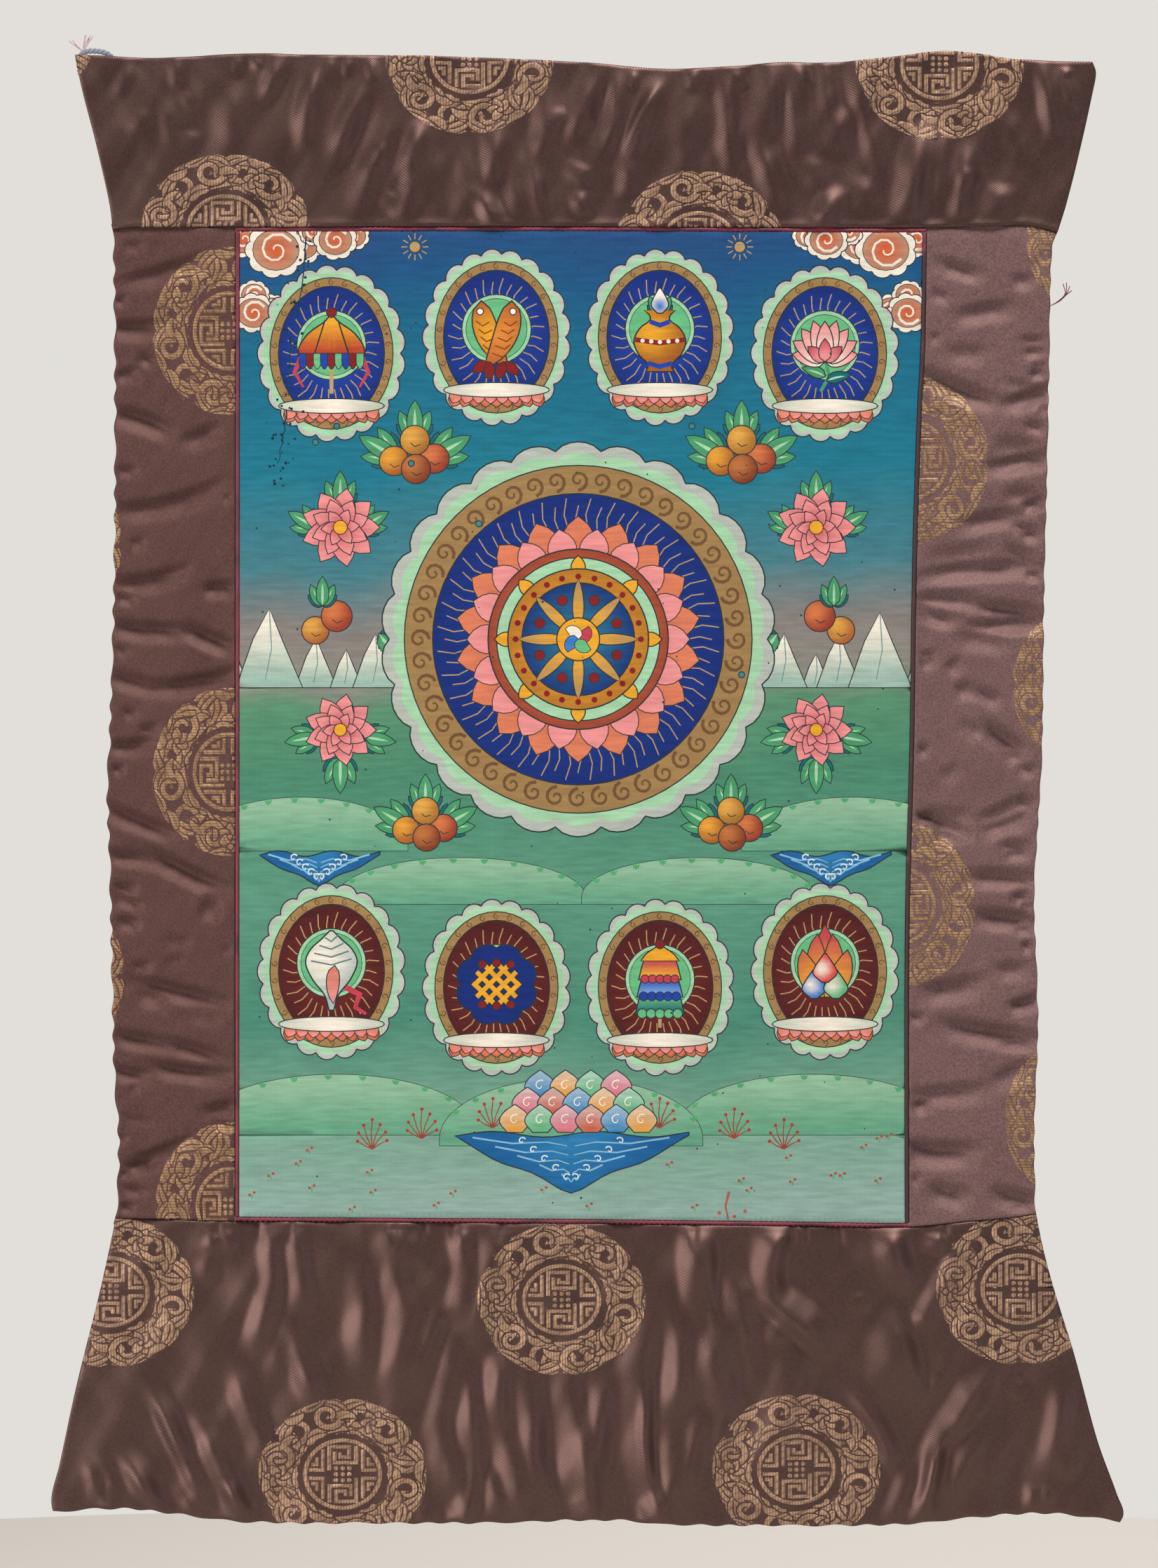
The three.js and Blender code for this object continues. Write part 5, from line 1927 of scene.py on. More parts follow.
    def knot(self, x: float, z: float) -> None:
        """An endless knot.

        Args:
            x: Middle of the roundel across, mm.
            z: Middle of the roundel up, mm.
        """
        step, half = 4.6, 11.5
        self.paint(scalloped(x, z, 16.5, 16.5, 8, 2.4), BLUE_DEEP, line=0.6)
        for width, colour in ((3.3, INK), (2.1, ORANGE_PAINT)):
            for k in (-1.5, -0.5, 0.5, 1.5):
                for turn in (1, -1):
                    reach = half - 0.5 * abs(k) * step
                    ends = [(-reach + k * step, turn * (-reach) - turn * k * step),
                            (reach + k * step, turn * reach - turn * k * step)]
                    self.line([(x + 0.72 * a, z + 0.72 * b) for a, b in ends], width, colour)
        for k in (-1, 0, 1):
            for at_x, at_z in ((k * 6.6, 9.9 - abs(k) * 0.6), (k * 6.6, -9.9 + abs(k) * 0.6)):
                self.paint(disc(x + at_x, z + at_z, 1.7, 10), CRIMSON_PAINT, line=0.4)

    def banner(self, x: float, z: float) -> None:
        """A round banner of victory, in tiers.

        Args:
            x: Middle of the roundel across, mm.
            z: Middle of the roundel up, mm.
        """
        self.line([(x, z - 20), (x, z + 19)], 1.6, GOLD_LINE)
        tiers = ((11.5, 8.6, PINK_DEEP, ORANGE_PAINT), (3.5, 9.4, BLUE_PAINT, "#6f9ad8"),
                 (-4.5, 10.2, HALO, LEAF_TEAL))
        for top, half, near, far in reversed(tiers):
            self.paint(profile(x, z + top, ((-9, half + 0.8), (-4, half - 0.4), (0, half - 1.6))), near, far,
                       None, 1, 0.6)
            for k in range(5):
                self.paint(disc(x - half + (k + 0.5) * half * 0.4, z + top - 9, half * 0.2, 10), near,
                           line=0.45)
        self.paint(profile(x, z + 11, ((0, 8.4), (3, 6), (6, 1.6))), ORANGE_PAINT, line=0.6)
        self.paint(disc(x, z + 18.6, 1.9, 12), CRIMSON_PAINT, line=0.5)

    def jewels(self, x: float, z: float) -> None:
        """Three jewels in a flame.

        Args:
            x: Middle of the roundel across, mm.
            z: Middle of the roundel up, mm.
        """
        for heading, length, bend in ((90, 33, 0), (112, 29, -30), (68, 29, 30), (136, 24, -40),
                                      (44, 24, 40)):
            self.paint(lobe(x, z - 13, heading, length, 10, bend, steps=8), ORANGE_PAINT, PINK_DEEP,
                       (x, z - 10), 30, 0.55)
        for dx, dz, near in ((-5, -9, JEWEL_BLUE), (5, -9, HALO), (0, -1.5, "#cf4f4a")):
            self.paint(profile(x + dx, z + dz, ((-4.6, 1.4), (-1, 5.2), (2, 4.4), (8, 0.4)), 14), WHITE_PAINT,
                       near,
                       (x + dx - 1.4, z + dz + 1.4), 6, 0.6)

    def wheel(self, x: float, z: float, size: float) -> None:
        """The great wheel, in rings of petals and rays on a cloud.

        Args:
            x: Its middle across, mm.
            z: Its middle up, mm.
            size: Its radius, mm.
        """
        self.paint(scalloped(x, z, size * 1.0, size * 1.0, 26, size * 0.045), CLOUD_WHITE, CLOUD_GREY, (x, z),
                   size, 0.8)
        self.paint(scalloped(x, z, size * 0.955, size * 0.955, 26, size * 0.036), LEAF_GREEN, HALO_PALE,
                   (x, z), size * 1.1)
        self.paint(disc(x, z, size * 0.92, 72), GOLD_PALE, line=0.7)
        for at_x, at_z, turn in around(x, z, size * 0.845, size * 0.845, 44):
            self.paint(curl(at_x, at_z, size * 0.055, turn + 180, size * 0.018, 1, 1.3), SCROLL_BROWN)
        self.paint(disc(x, z, size * 0.77, 64), BLUE_PAINT, BLUE_DEEP, (x, z), size * 0.8, 0.7)
        for k, (at_x, at_z, turn) in enumerate(around(x, z, size * 0.58, size * 0.58, 72)):
            out, lean = (0.17 if k % 2 else 0.13) * size, math.radians(turn + 5)
            self.line([(at_x, at_z),
                       (at_x + 0.5 * out * math.cos(lean + 0.12), at_z + 0.5 * out * math.sin(lean + 0.12)),
                       (at_x + out * math.cos(lean - 0.1), at_z + out * math.sin(lean - 0.1))], 0.62,
                      GOLD_LINE)
        self.petals(x, z, size * 0.2, size * 0.17, 18, (CRIMSON_PAINT, PEACH), 90, size * 0.45)
        self.petals(x, z, size * 0.17, size * 0.15, 18, (PINK_DEEP, PINK), 100, size * 0.42)
        self.paint(disc(x, z, size * 0.475, 56), PEACH, "#8a3b2a", (x, z), size * 0.6, 0.8)
        self.paint(disc(x, z, size * 0.43, 56), HALO, HALO_PALE, (x, z), size * 0.45, 0.7)
        self.spokes(x, z, size * 0.37)

    def spokes(self, x: float, z: float, size: float) -> None:
        """The eight-spoked wheel itself.

        Args:
            x: Its middle across, mm.
            z: Its middle up, mm.
            size: Its radius, mm.
        """
        for at_x, at_z, turn in around(x, z, size * 0.93, size * 0.93, 8):
            self.paint(lobe(at_x, at_z, turn, size * 0.26, size * 0.19, steps=6), ORANGE_PAINT, line=0.7)
        self.paint(disc(x, z, size, 56), ORANGE_PAINT, "#a8702c", (x, z), size * 1.2, 0.8)
        self.paint(disc(x, z, size * 0.8, 48), "#2a6f8f", BLUE_DEEP, (x, z), size, 0.7)
        for at_x, at_z, turn in around(x, z, size * 0.2, size * 0.2, 8):
            self.paint(lobe(at_x, at_z, turn, size * 0.66, size * 0.15, steps=7), ORANGE_PAINT, GOLD_PALE,
                       (x, z), size, 0.6)
            mid = math.radians(turn + 22.5)
            self.paint(disc(x + 0.6 * size * math.cos(mid), z + 0.6 * size * math.sin(mid), size * 0.07, 10),
                       CRIMSON_PAINT, line=0.45)
        for at_x, at_z, turn in around(x, z, size * 0.9, size * 0.9, 24):
            self.paint(disc(at_x, at_z, size * 0.045, 8), CRIMSON_PAINT)
        self.paint(disc(x, z, size * 0.3, 28), ORANGE_PAINT, line=0.7)
        for k, colour in enumerate((PINK_DEEP, WHITE_PAINT, JEWEL_BLUE, HALO)):
            self.paint(lobe(x, z, 90 * k + 10, size * 0.25, size * 0.17, 80, steps=7), colour, line=0.45)

    def peaks(self, x: float, z: float, size: float) -> None:
        """Snow peaks at the horizon.

        Args:
            x: Their middle across, mm.
            z: Height of their foot, mm.
            size: Height of the middle one, mm.
        """
        for dx, share in ((-0.55, 0.7), (0.6, 0.62), (0, 1.0)):
            at_x, high = x + dx * size, size * share
            face = [(at_x - 0.42 * high, z), (at_x - 0.2 * high, z + 0.62 * high), (at_x, z + high),
                    (at_x + 0.17 * high, z + 0.58 * high), (at_x + 0.42 * high, z)]
            self.paint(np.array(face), WHITE_PAINT, "#8fb0a4", None, 1, 0.6)
            self.line([(at_x, z + high), (at_x + 0.03 * high, z + 0.5 * high),
                       (at_x - 0.05 * high, z + 0.1 * high)],
                      0.6, "#6d8f90")

    def lake(self, x: float, z: float, wide: float, deep: float) -> None:
        """A lake that narrows towards its foot, with rolling waves and a little foam.

        Args:
            x: Its middle across, mm.
            z: Height of its brow, mm.
            wide: Half its width, mm.
            deep: How far it reaches down, mm.
        """
        share = np.linspace(-1, 1, 25)
        foot = z - deep * (1 - np.abs(share) ** 1.3) * (1 + 0.08 * np.cos(9 * share))
        brow = z + 1.6 * np.sin(7 * share[::-1])
        shore = np.stack([x + wide * np.concatenate([share, share[::-1]]), np.concatenate([foot, brow])],
                         axis=1)
        self.paint(shore, WATER, WATER_DEEP, (x, z + 4), deep * 1.5, 0.7)
        for row in range(5):
            depth = z - deep * (0.1 + 0.17 * row)
            half = wide * (0.84 - 0.19 * row)
            for side in (-1, 1):
                self.line([(x + side * half, depth + 1.5), (x + side * 0.6 * half, depth - 1.8),
                           (x + side * 0.25 * half, depth - 1.0), (x + side * 0.04 * half, depth - 3.2)],
                          1.0, "#7fb2cf", 0.5)
                self.paint(curl(x + side * 0.5 * half, depth - 0.4, 2.3, 90 + 60 * side, 0.8, -side, 0.9),
                           FOAM)

    def hill(self, x: float, z: float, wide: float, high: float) -> None:
        """A rounded green hill with tufts along its brow.

        Args:
            x: Its middle across, mm.
            z: Height of its foot, mm.
            wide: Half its width, mm.
            high: Its height, mm.
        """
        turn = np.linspace(0, np.pi, 26)
        brow = np.stack([x + wide * np.cos(turn), z + high * np.sin(turn)], axis=1)
        self.paint(np.concatenate([brow, [(x - wide, z - 4), (x + wide, z - 4)]]), "#88b397", "#5f9c80", None,
                   1, 0.35)
        for at_x, at_z in brow[3:-3:2]:
            for lean in (-35, 0, 35):
                self.paint(lobe(at_x, at_z - 3, 90 + lean, 3.6, 1.4, steps=4), "#4e9f6c")

    def reeds(self, x: float, z: float, size: float) -> None:
        """A tuft of red stems with buds.

        Args:
            x: Their root across, mm.
            z: Their root up, mm.
            size: Their length, mm.
        """
        for lean in (-62, -40, -20, 0, 18, 38, 60):
            turn = math.radians(90 - lean)
            length = size * (1.1 - abs(lean) / 130)
            top = (x + length * math.cos(turn), z + length * math.sin(turn))
            self.line([(x, z),
                       (x + 0.5 * length * math.cos(turn + 0.08), z + 0.5 * length * math.sin(turn + 0.08)),
                       top],
                      0.75, "#8c4136", 0.7)
            self.paint(disc(top[0], top[1], 1.0, 8), "#a5352f")

    def berries(self, west: float, east: float, south: float, north: float, count: int) -> None:
        """Pairs of red dots strewn over the meadow.

        Args:
            west: West end of the ground they lie on, mm.
            east: Its east end, mm.
            south: Its lower end, mm.
            north: Its upper end, mm.
            count: Number of pairs.
        """
        for _ in range(count):
            at_x, at_z = self.draw.uniform(west, east), self.draw.uniform(south, north)
            for side in (-1.3, 1.3):
                self.paint(disc(at_x + side, at_z + 0.5 * side, 0.85, 7), "#a8453c")
            self.paint(lobe(at_x, at_z - 3.2, 90, 3.4, 1.0, steps=3), "#4e9f6c")

    def land(self) -> None:
        """Peaks, hills, lakes and meadow."""
        for x, size in ((-178, 44), (-118, 30), (112, 30), (166, 42)):
            self.peaks(x, -352, size)
        for x, z, wide, high in ((-160, -440, 60, 26), (150, -440, 62, 26), (-70, -470, 70, 22),
                                 (64, -470, 66, 22)):
            self.hill(x, z, wide, high)
        for x, z, wide, deep in ((-150, -446, 34, 16), (138, -446, 34, 16)):
            self.lake(x, z, wide, deep)
        for x, z, wide, high in ((-140, -600, 78, 30), (128, -600, 76, 30), (-8, -606, 74, 34)):
            self.hill(x, z, wide, high)
        self.berries(-188, 172, -646, -604, 30)
        self.lake(-8, -604, 66, 30)
        for x, z in ((-120, -612), (-92, -606), (-52, -600), (42, -600), (84, -606), (112, -612)):
            self.reeds(x, z, 15)

    def sky(self) -> None:
        """Clouds, and the sun and the moon in gold line."""
        for side, edge in ((1, -194), (-1, 189)):
            self.cloud(edge + side * 18, -104, 17, side)
            self.cloud(edge + side * 52, -99, 12, side)
            self.cloud(edge + side * 6, -140, 12, side)
        for x in (-96, 87):
            self.paint(disc(x, -104, 3.0, 14), GOLD_LINE, line=0.4)
            for at_x, at_z, turn in around(x, -104, 4.4, 4.4, 12):
                tip = math.radians(turn)
                self.line([(at_x, at_z), (at_x + 3.2 * math.cos(tip), at_z + 3.2 * math.sin(tip))], 0.6,
                          GOLD_LINE)

    def garden(self) -> None:
        """Flowers, fruit and leaves round the wheel."""
        for side in (-1, 1):
            x = -4 + side * 134
            self.spray(x, -250, 90, 17)
            self.spray(x - side * 12, -262, 90 + side * 60, 15)
            self.spray(x + side * 14, -262, 90 - side * 60, 15)
            self.peony(x, -262, 22)
            self.spray(x, -392, -90, 17)
            self.spray(x - side * 14, -380, 90 + side * 100, 15)
            self.spray(x + side * 14, -380, 90 - side * 100, 15)
            self.peony(x, -376, 20)
            self.cluster(-4 + side * 92, -222, 13)
            self.cluster(-4 + side * 86, -430, 12)
            self.leaf(-4 + side * 112, -330, 90 + side * 30, 22, LEAF_TEAL, side * 40)
            self.leaf(-4 + side * 112, -322, -90 - side * 30, 22, LEAF_GREEN, -side * 40)
            self.fruit(x + side * 14, -320, 7.5, "#d3a04a", "#9c5a30")
            self.fruit(x + side * 2, -312, 8.5, "#c97548", "#8a3a2c")
            self.spray(x + side * 10, -306, 90, 14)

    def design(self) -> list[Shape]:
        """Draws all of it.

        Returns:
            The shapes, in painting order.
        """
        self.sky()
        self.land()
        self.garden()
        self.wheel(-4, -325, 106)
        rows = (
            (-164, 9, (LEAF_GREEN, RIM_BLUE), (BLUE_PAINT, BLUE_DEEP),
             (self.parasol, self.fish, self.vase, self.lotus)),
            (-512, -9, (RIM_BLUE, LEAF_GREEN), ("#6b2a28", "#4a2023"),
             (self.conch, self.knot, self.banner, self.jewels)),
        )
        for z, rise, rims, glow, emblems in rows:
            for k, (x, emblem) in enumerate(zip((-143, -50, 42, 135), emblems)):
                self.roundel(x, z + (rise if k in (1, 2) else 0), 31, 39, rims[k % 2], glow, emblem)
        self.heap(-4, -588, 8.4)
        self.stains()
        return self.shapes

    def heap(self, x: float, z: float, size: float) -> None:
        """A heap of coloured jewels.

        Args:
            x: Its middle across, mm.
            z: Its middle up, mm.
            size: Its size, mm.
        """
        colours = ("#2f7fb4", "#c9697b", "#cf9234", "#b9553a", "#57a877")
        for row, count in enumerate((4, 5, 6)):
            for k in range(count):
                at_x, at_z = x + (k - (count - 1) / 2) * size * 1.7, z + (2 - row) * size * 1.15 - size
                jewel = profile(at_x, at_z, ((-0.7 * size, 0.5 * size), (0, size), (0.6 * size, 0.7 * size),
                                             (1.1 * size, 0.2)), 12)
                self.paint(jewel, colours[(2 * k + row) % 5], FOAM, (at_x, at_z - size), size * 4.2, 0.6)
                self.paint(curl(at_x, at_z + 0.1 * size, 0.4 * size, 60, 0.7, 1, 0.9), WHITE_PAINT)

    def stains(self) -> None:
        """The crease down the left with its mould, specks all over, and a reddish run at the foot."""
        crease = curve_through(((-95, -157), (-125, -160), (-160, -166), (-195, -168), (-232, -174)))
        for top, bottom in ((-98, -150), (-156, -188), (-196, -226)):
            at = np.linspace(top, bottom, 9)
            route = np.stack([crease(at) + 0.5 * np.sin(at * 0.9), at], axis=1)
            self.line(route, 0.9, "#173f52", 0.5)
        for _ in range(70):
            z = self.draw.uniform(-240, -98)
            x = float(crease(np.array(z))) + self.draw.gauss(0, 3.5)
            self.paint(disc(x, z, self.draw.uniform(0.4, 0.95), 7), "#16323c")
        for _ in range(90):
            x, z = self.draw.uniform(-190, 176), self.draw.uniform(-648, -98)
            self.paint(disc(x, z, self.draw.uniform(0.35, 0.75), 6), "#23403f")
        for x, z in ((-140, -205), (-152, -214), (-98, -226), (60, -205), (-60, -260), (88, -345)):
            self.paint(disc(x, z, 2.1, 12), "#27474a")
            self.paint(disc(x, z, 1.4, 10), "#3c7d84")
        self.line([(81, -636), (79, -644), (80.5, -652)], 1.6, "#a5564c", 0.4)
        for x, z in ((75.5, -648), (84, -650), (90, -647)):
            self.paint(disc(x, z, 1.1, 8), "#a5564c")


@dataclass
class PaintedCanvas(Cloth):
    """The painted canvas, with a general design in the old manner and no figures."""

    shapes: list[Shape] = field(default_factory=list)

    def build(self, paint: bpy.types.Material, raw: bpy.types.Material) -> bpy.types.Object:
        """Builds and dresses the canvas.

        Args:
            paint: The painted face.
            raw: The bare back.

        Returns:
            The piece.
        """
        face = triangulated(self.patch, self.cut, [shape.points for shape in self.shapes])
        none = np.zeros(len(face.faces), bool)
        piece = self.solid(face, none, [paint, raw], none.astype(int))
        top = face.top[self.kept]
        places = face.points[face.faces[self.kept].ravel()]
        owner = np.repeat(top, 3)
        colours = ground_colours(places)
        for index in np.unique(top[top >= 0]):
            held = owner == index
            colours[held] = self.shapes[index].colours(places[held])
        gilt = np.array([shape.near in GOLDS for shape in self.shapes] + [False])[owner].astype(float)
        spare = len(piece.data.loops) - len(places)
        whole = np.concatenate([colours, np.tile(linear(RAW_CANVAS), (spare, 1))]).astype(np.float32)
        layer = piece.data.color_attributes.new(PAINT, "FLOAT_COLOR", "CORNER")
        layer.data.foreach_set("color", whole.ravel())
        shine = piece.data.attributes.new(GILT, "FLOAT", "CORNER")
        shine.data.foreach_set("value", np.concatenate([gilt, np.zeros(spare)]).astype(np.float32))
        return self.declared(piece)


RAW_CANVAS = "#b9ab92"
GOLDS = (GOLD_LINE, GOLD_PALE)
# The painted ground from the top down. Columns: z, colour
GROUND = (
    (-95, "#254a7a"), (-120, "#1f5280"), (-160, "#1c6584"), (-230, "#1f7389"), (-285, "#437984"),
    (-318, "#7f7b77"), (-345, "#83837d"), (-362, "#548a6c"), (-400, "#47836a"), (-470, "#56907a"),
    (-540, "#468371"), (-600, "#729e8b"), (-650, "#86a59f"),
)


def ground_colours(places: Points) -> np.ndarray:
    """Linear colours of the painted ground, from sky to meadow.

    Args:
        places: Places in x and z.

    Returns:
        A colour for each.
    """
    at = np.array([z for z, _ in GROUND], float)[::-1]
    tones = np.array([linear(colour) for _, colour in GROUND])[::-1]
    z = places[:, 1] + 5 * np.sin(places[:, 0] / 31) + 3 * np.sin(places[:, 0] / 11 + 1)
    return np.stack([np.interp(z, at, tones[:, channel]) for channel in range(4)], axis=1)


def tube(route: Points, depths: np.ndarray, width: float, thick: float, sides: int) -> Mesh:
    """A closed tube along a route in the cloth's plane.

    Args:
        route: Rows of x and z.
        depths: How far back each lies.
        width: Across the section, in the cloth's plane.
        thick: Through the section.
        sides: Of the section.

    Returns:
        Its points and faces.
    """
    points = np.stack([route[:, 0], depths, route[:, 1]], axis=1)
    step = np.gradient(points, axis=0)
    step /= np.linalg.norm(step, axis=1)[:, None]
    out = np.array([0.0, 1.0, 0.0])
    side = np.cross(step, out)
    side /= np.linalg.norm(side, axis=1)[:, None]
    up = np.cross(side, step)
    turn = np.linspace(0, 2 * np.pi, sides, endpoint=False)
    ring = side[:, None] * np.cos(turn)[None, :, None] * width / 2
    ring = ring + up[:, None] * np.sin(turn)[None, :, None] * thick / 2
    verts = np.concatenate([(points[:, None] + ring).reshape(-1, 3), points[:1], points[-1:]])
    faces = []
    last = len(points) - 1
    for row in range(last):
        for k in range(sides):
            a, b = row * sides + k, row * sides + (k + 1) % sides
            faces += [(a, a + sides, b), (b, a + sides, b + sides)]
    for k in range(sides):
        follow = (k + 1) % sides
        faces.append((len(verts) - 2, k, follow))
        faces.append((len(verts) - 1, last * sides + follow, last * sides + k))
    return verts, np.array(faces)


def smooth_route(rows: Rows, count: int) -> np.ndarray:
    """Points evenly along a smooth curve through rows of coordinates.

    Args:
        rows: The rows.
        count: Number of points.

    Returns:
        The points.
    """
    table = np.array(rows, float)
    at = np.concatenate([[0], np.cumsum(np.linalg.norm(np.diff(table, axis=0), axis=1))])
    places = np.linspace(0, at[-1], count)
    return np.stack([curve_through(list(zip(at, table[:, i])))(places) for i in range(table.shape[1])],
                    axis=1)


def joined(parts: Sequence[Mesh]) -> Mesh:
    """Several meshes as one.

    Args:
        parts: The meshes.

    Returns:
        One mesh.
    """
    points, faces, start = [], [], 0
    for verts, polygons in parts:
        points.append(verts)
        faces.append(polygons + start)
        start += len(verts)
    return np.concatenate(points), np.concatenate(faces)


def mid_depth(node: str) -> float:
    """Middle of a solid from front to back, in millimetres."""
    low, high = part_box(node)
    return (low[1] + high[1]) / 2 / MM


@dataclass
class CornerTie:
    """The flat cord sewn behind the top left corner: two plies twisted together, frayed at one end."""

    name: str = "corner_tie"
    # Its route, and the ends of its frayed threads. Columns: x, z
    route: tuple[tuple[float, float], ...] = (
        (-284.5, -7), (-285.2, 2.6), (-281.8, 6.0), (-276.6, 6.5), (-271.0, 5.6), (-267.2, 3.0), (-265.5, -6),
    )
    root: tuple[float, float] = (-283.0, 6.2)
    ends: tuple[tuple[float, float], ...] = (
        (-291.0, 12.4), (-290.2, 11.2), (-289.0, 12.6), (-288.2, 10.2), (-282.2, 15.6), (-281.2, 15.9),
        (-277.4, 15.0), (-278.6, 15.6), (-279.6, 13.6),
    )
    ply: float = 1.7
    ply_thick: float = 0.8
    pitch: float = 5.0
    # How far a ply swings: across, as a share of its width, and back, in millimetres
    twist: tuple[float, float] = (0.48, 0.22)
    fibre: float = 0.6
    stray: tuple[float, float] = (0.8, 1.2)  # how far a fibre wanders from straight, across and back

    def build(self, cord: bpy.types.Material, frayed: bpy.types.Material) -> bpy.types.Object:
        """Builds and dresses the tie.

        Args:
            cord: Its cotton.
            frayed: The paler cotton of its frayed threads.

        Returns:
            The piece.
        """
        depth = mid_depth(self.name)
        line = smooth_route(self.route, 90)
        run = np.concatenate([[0], np.cumsum(np.linalg.norm(np.diff(line, axis=0), axis=1))])
        step = np.gradient(line, axis=0)
        side = np.stack([-step[:, 1], step[:, 0]], axis=1) / np.linalg.norm(step, axis=1)[:, None]
        parts = []
        for start in (0.0, math.pi):
            turn = 2 * np.pi * run / self.pitch + start
            across = line + side * (self.ply * self.twist[0] * np.cos(turn))[:, None]
            parts.append(tube(across, depth + self.twist[1] * np.sin(turn), self.ply, self.ply_thick, 8))
        strands = len(np.concatenate([faces for _, faces in parts]))
        draw = random.Random(3)
        for end in self.ends:
            middle = [(a + b) / 2 + draw.uniform(-self.stray[0], self.stray[0]) for a,
                      b in zip(self.root, end)]
            path = smooth_route((self.root, middle, end), 9)
            lean = np.linspace(0, draw.uniform(-self.stray[1], self.stray[1]), 9)
            parts.append(tube(path, depth + lean, self.fibre, self.fibre, 5))
        points, faces = joined(parts)
        slots = (np.arange(len(faces)) >= strands).astype(int)
        piece = make_piece(f"{self.name}_cord", points, faces, [cord, frayed], slots)
        return declare(piece, self.name)


@dataclass
class LooseThread:
    """A tuft of sewing thread that has come out of the right edge."""

    name: str = "loose_thread"
    root_z: float = -137.0
    knee: tuple[float, float] = (271.0, -130.4)
    ends: tuple[tuple[float, float], ...] = ((269.2, -124.6), (271.2, -124.0), (273.0, -126.0),
                                             (274.2, -128.4))
    width: float = 0.5
    spacing: float = 0.45
    sag: float = 0.9

    def build(self, thread: bpy.types.Material) -> bpy.types.Object:
        """Builds and dresses the tuft.

        Args:
            thread: Its material.

        Returns:
            The piece.
        """
        depth = mid_depth(self.name)
        at = np.array(self.root_z)
        root = (float(RIGHT(at) - CALM * ripple(at, *PUCKERS)) + 0.2, self.root_z)
        parts = []
        for k, end in enumerate(self.ends):
            spread = self.spacing * (k - 1.5)
            middle = ((root[0] + self.knee[0]) / 2 + spread,
                      (root[1] + self.knee[1]) / 2 - self.sag + 0.3 * spread)
            path = smooth_route((root, middle, (self.knee[0] + spread, self.knee[1]), end), 16)
            lean = depth + 0.3 * spread * np.linspace(0, 1, 16)
            parts.append(tube(path, lean, self.width, self.width, 6))
        return declare(make_piece(f"{self.name}_tuft", *joined(parts), [thread]), self.name)


@dataclass(frozen=True)
class Lamp:
    """A square soft light aimed at the middle of the hanging. Its place is in metres, its power in watts."""

    name: str
    place: tuple[float, float, float]
    size: float
    power: float
    colour: str = "#fff6f0"

    def build(self) -> None:
        """Hangs the lamp."""
        light = bpy.data.lights.new(self.name, "AREA")
        light.size = self.size
        light.energy = self.power
        light.color = linear(self.colour)[:3]
        lamp = bpy.data.objects.new(self.name, light)
        lamp.location = self.place
        aim = Vector((0, 0, (CAD_BOX[0][2] + CAD_BOX[1][2]) / 2)) - Vector(self.place)
        lamp.rotation_euler = aim.to_track_quat("-Z", "Y").to_euler()
        bpy.context.scene.collection.objects.link(lamp)


@dataclass
class Studio:
    """The pale floor and room, the soft lamps and the camera. Its sizes are in metres."""

    distance: float = 3.0
    sensor: float = 36.0
    floor_drop: float = 0.22
    floor_reach: float = 1.7
    fill: float = 0.12
    lamps: tuple[Lamp, ...] = (
        Lamp("left", (-2.3, -1.75, -0.48), 1.5, 56.0),
        Lamp("above", (0.8, -1.7, 3.3), 1.5, 215.0),
        Lamp("right", (2.2, -2.4, -0.9), 1.6, 11.0, "#eef3ff"),
        Lamp("behind", (0.6, 2.2, 0.8), 1.6, 30.0, "#ffffff"),
    )

    def build(self) -> None:
        """Builds all of it."""
        self.camera()
        self.floor()
        for lamp in self.lamps:
            lamp.build()
        self.room()
        bpy.context.scene.view_settings.view_transform = "Standard"

    def camera(self) -> None:
        """A camera that looks straight at the middle of the photograph's frame."""
        middle_x = (FRAME_PIXELS[0] / 2 - ORIGIN_PIXEL[0]) * MM_PER_PIXEL * MM
        middle_z = -(FRAME_PIXELS[1] / 2 - ORIGIN_PIXEL[1]) * MM_PER_PIXEL * MM
        eye = bpy.data.cameras.new("camera")
        eye.sensor_width = self.sensor
        eye.lens = self.sensor * self.distance / (FRAME_PIXELS[1] * MM_PER_PIXEL * MM)
        camera = bpy.data.objects.new("camera", eye)
        camera.location = (middle_x, -self.distance, middle_z)
        camera.rotation_euler = (math.pi / 2, 0, 0)
        bpy.context.scene.collection.objects.link(camera)
        bpy.context.scene.camera = camera

    def room(self) -> None:
        """A pale room that fills the picture behind the hanging and gives it a little light."""
        world = bpy.data.worlds.new("pale_room")
        bpy.context.scene.world = world
        world.use_nodes = True
        world.node_tree.nodes.clear()
        add = partial(add_node, world.node_tree)
        ray = add("LightPath").outputs["Is Camera Ray"]
        dim = add("Background", {"Color": linear("#dcdad5"), "Strength": self.fill})
        pale = add("Background", {"Color": linear("#e2dfda"), "Strength": 1.0})
        add("OutputWorld", links={0: add("MixShader", links={0: ray, 1: dim, 2: pale})})

    def floor(self) -> None:
        """A round pale floor."""
        low = CAD_BOX[0][2] - self.floor_drop
        rim = [(x, y, low) for x, y in disc(0, 0, self.floor_reach, 96)]
        mesh = bpy.data.meshes.new("floor")
        mesh.from_pydata(rim, [], [range(len(rim))])
        mesh.materials.append(plain_material("pale_matt_floor", "#cfccc6", 0.9))
        ground = bpy.data.objects.new("floor", mesh)
        bpy.context.scene.collection.objects.link(ground)


SATIN = Satin("viscose_satin_brown", "#1f1412", "#2b1c1a", 0.46, 1.0, 1.58, painted_glint=0.55)
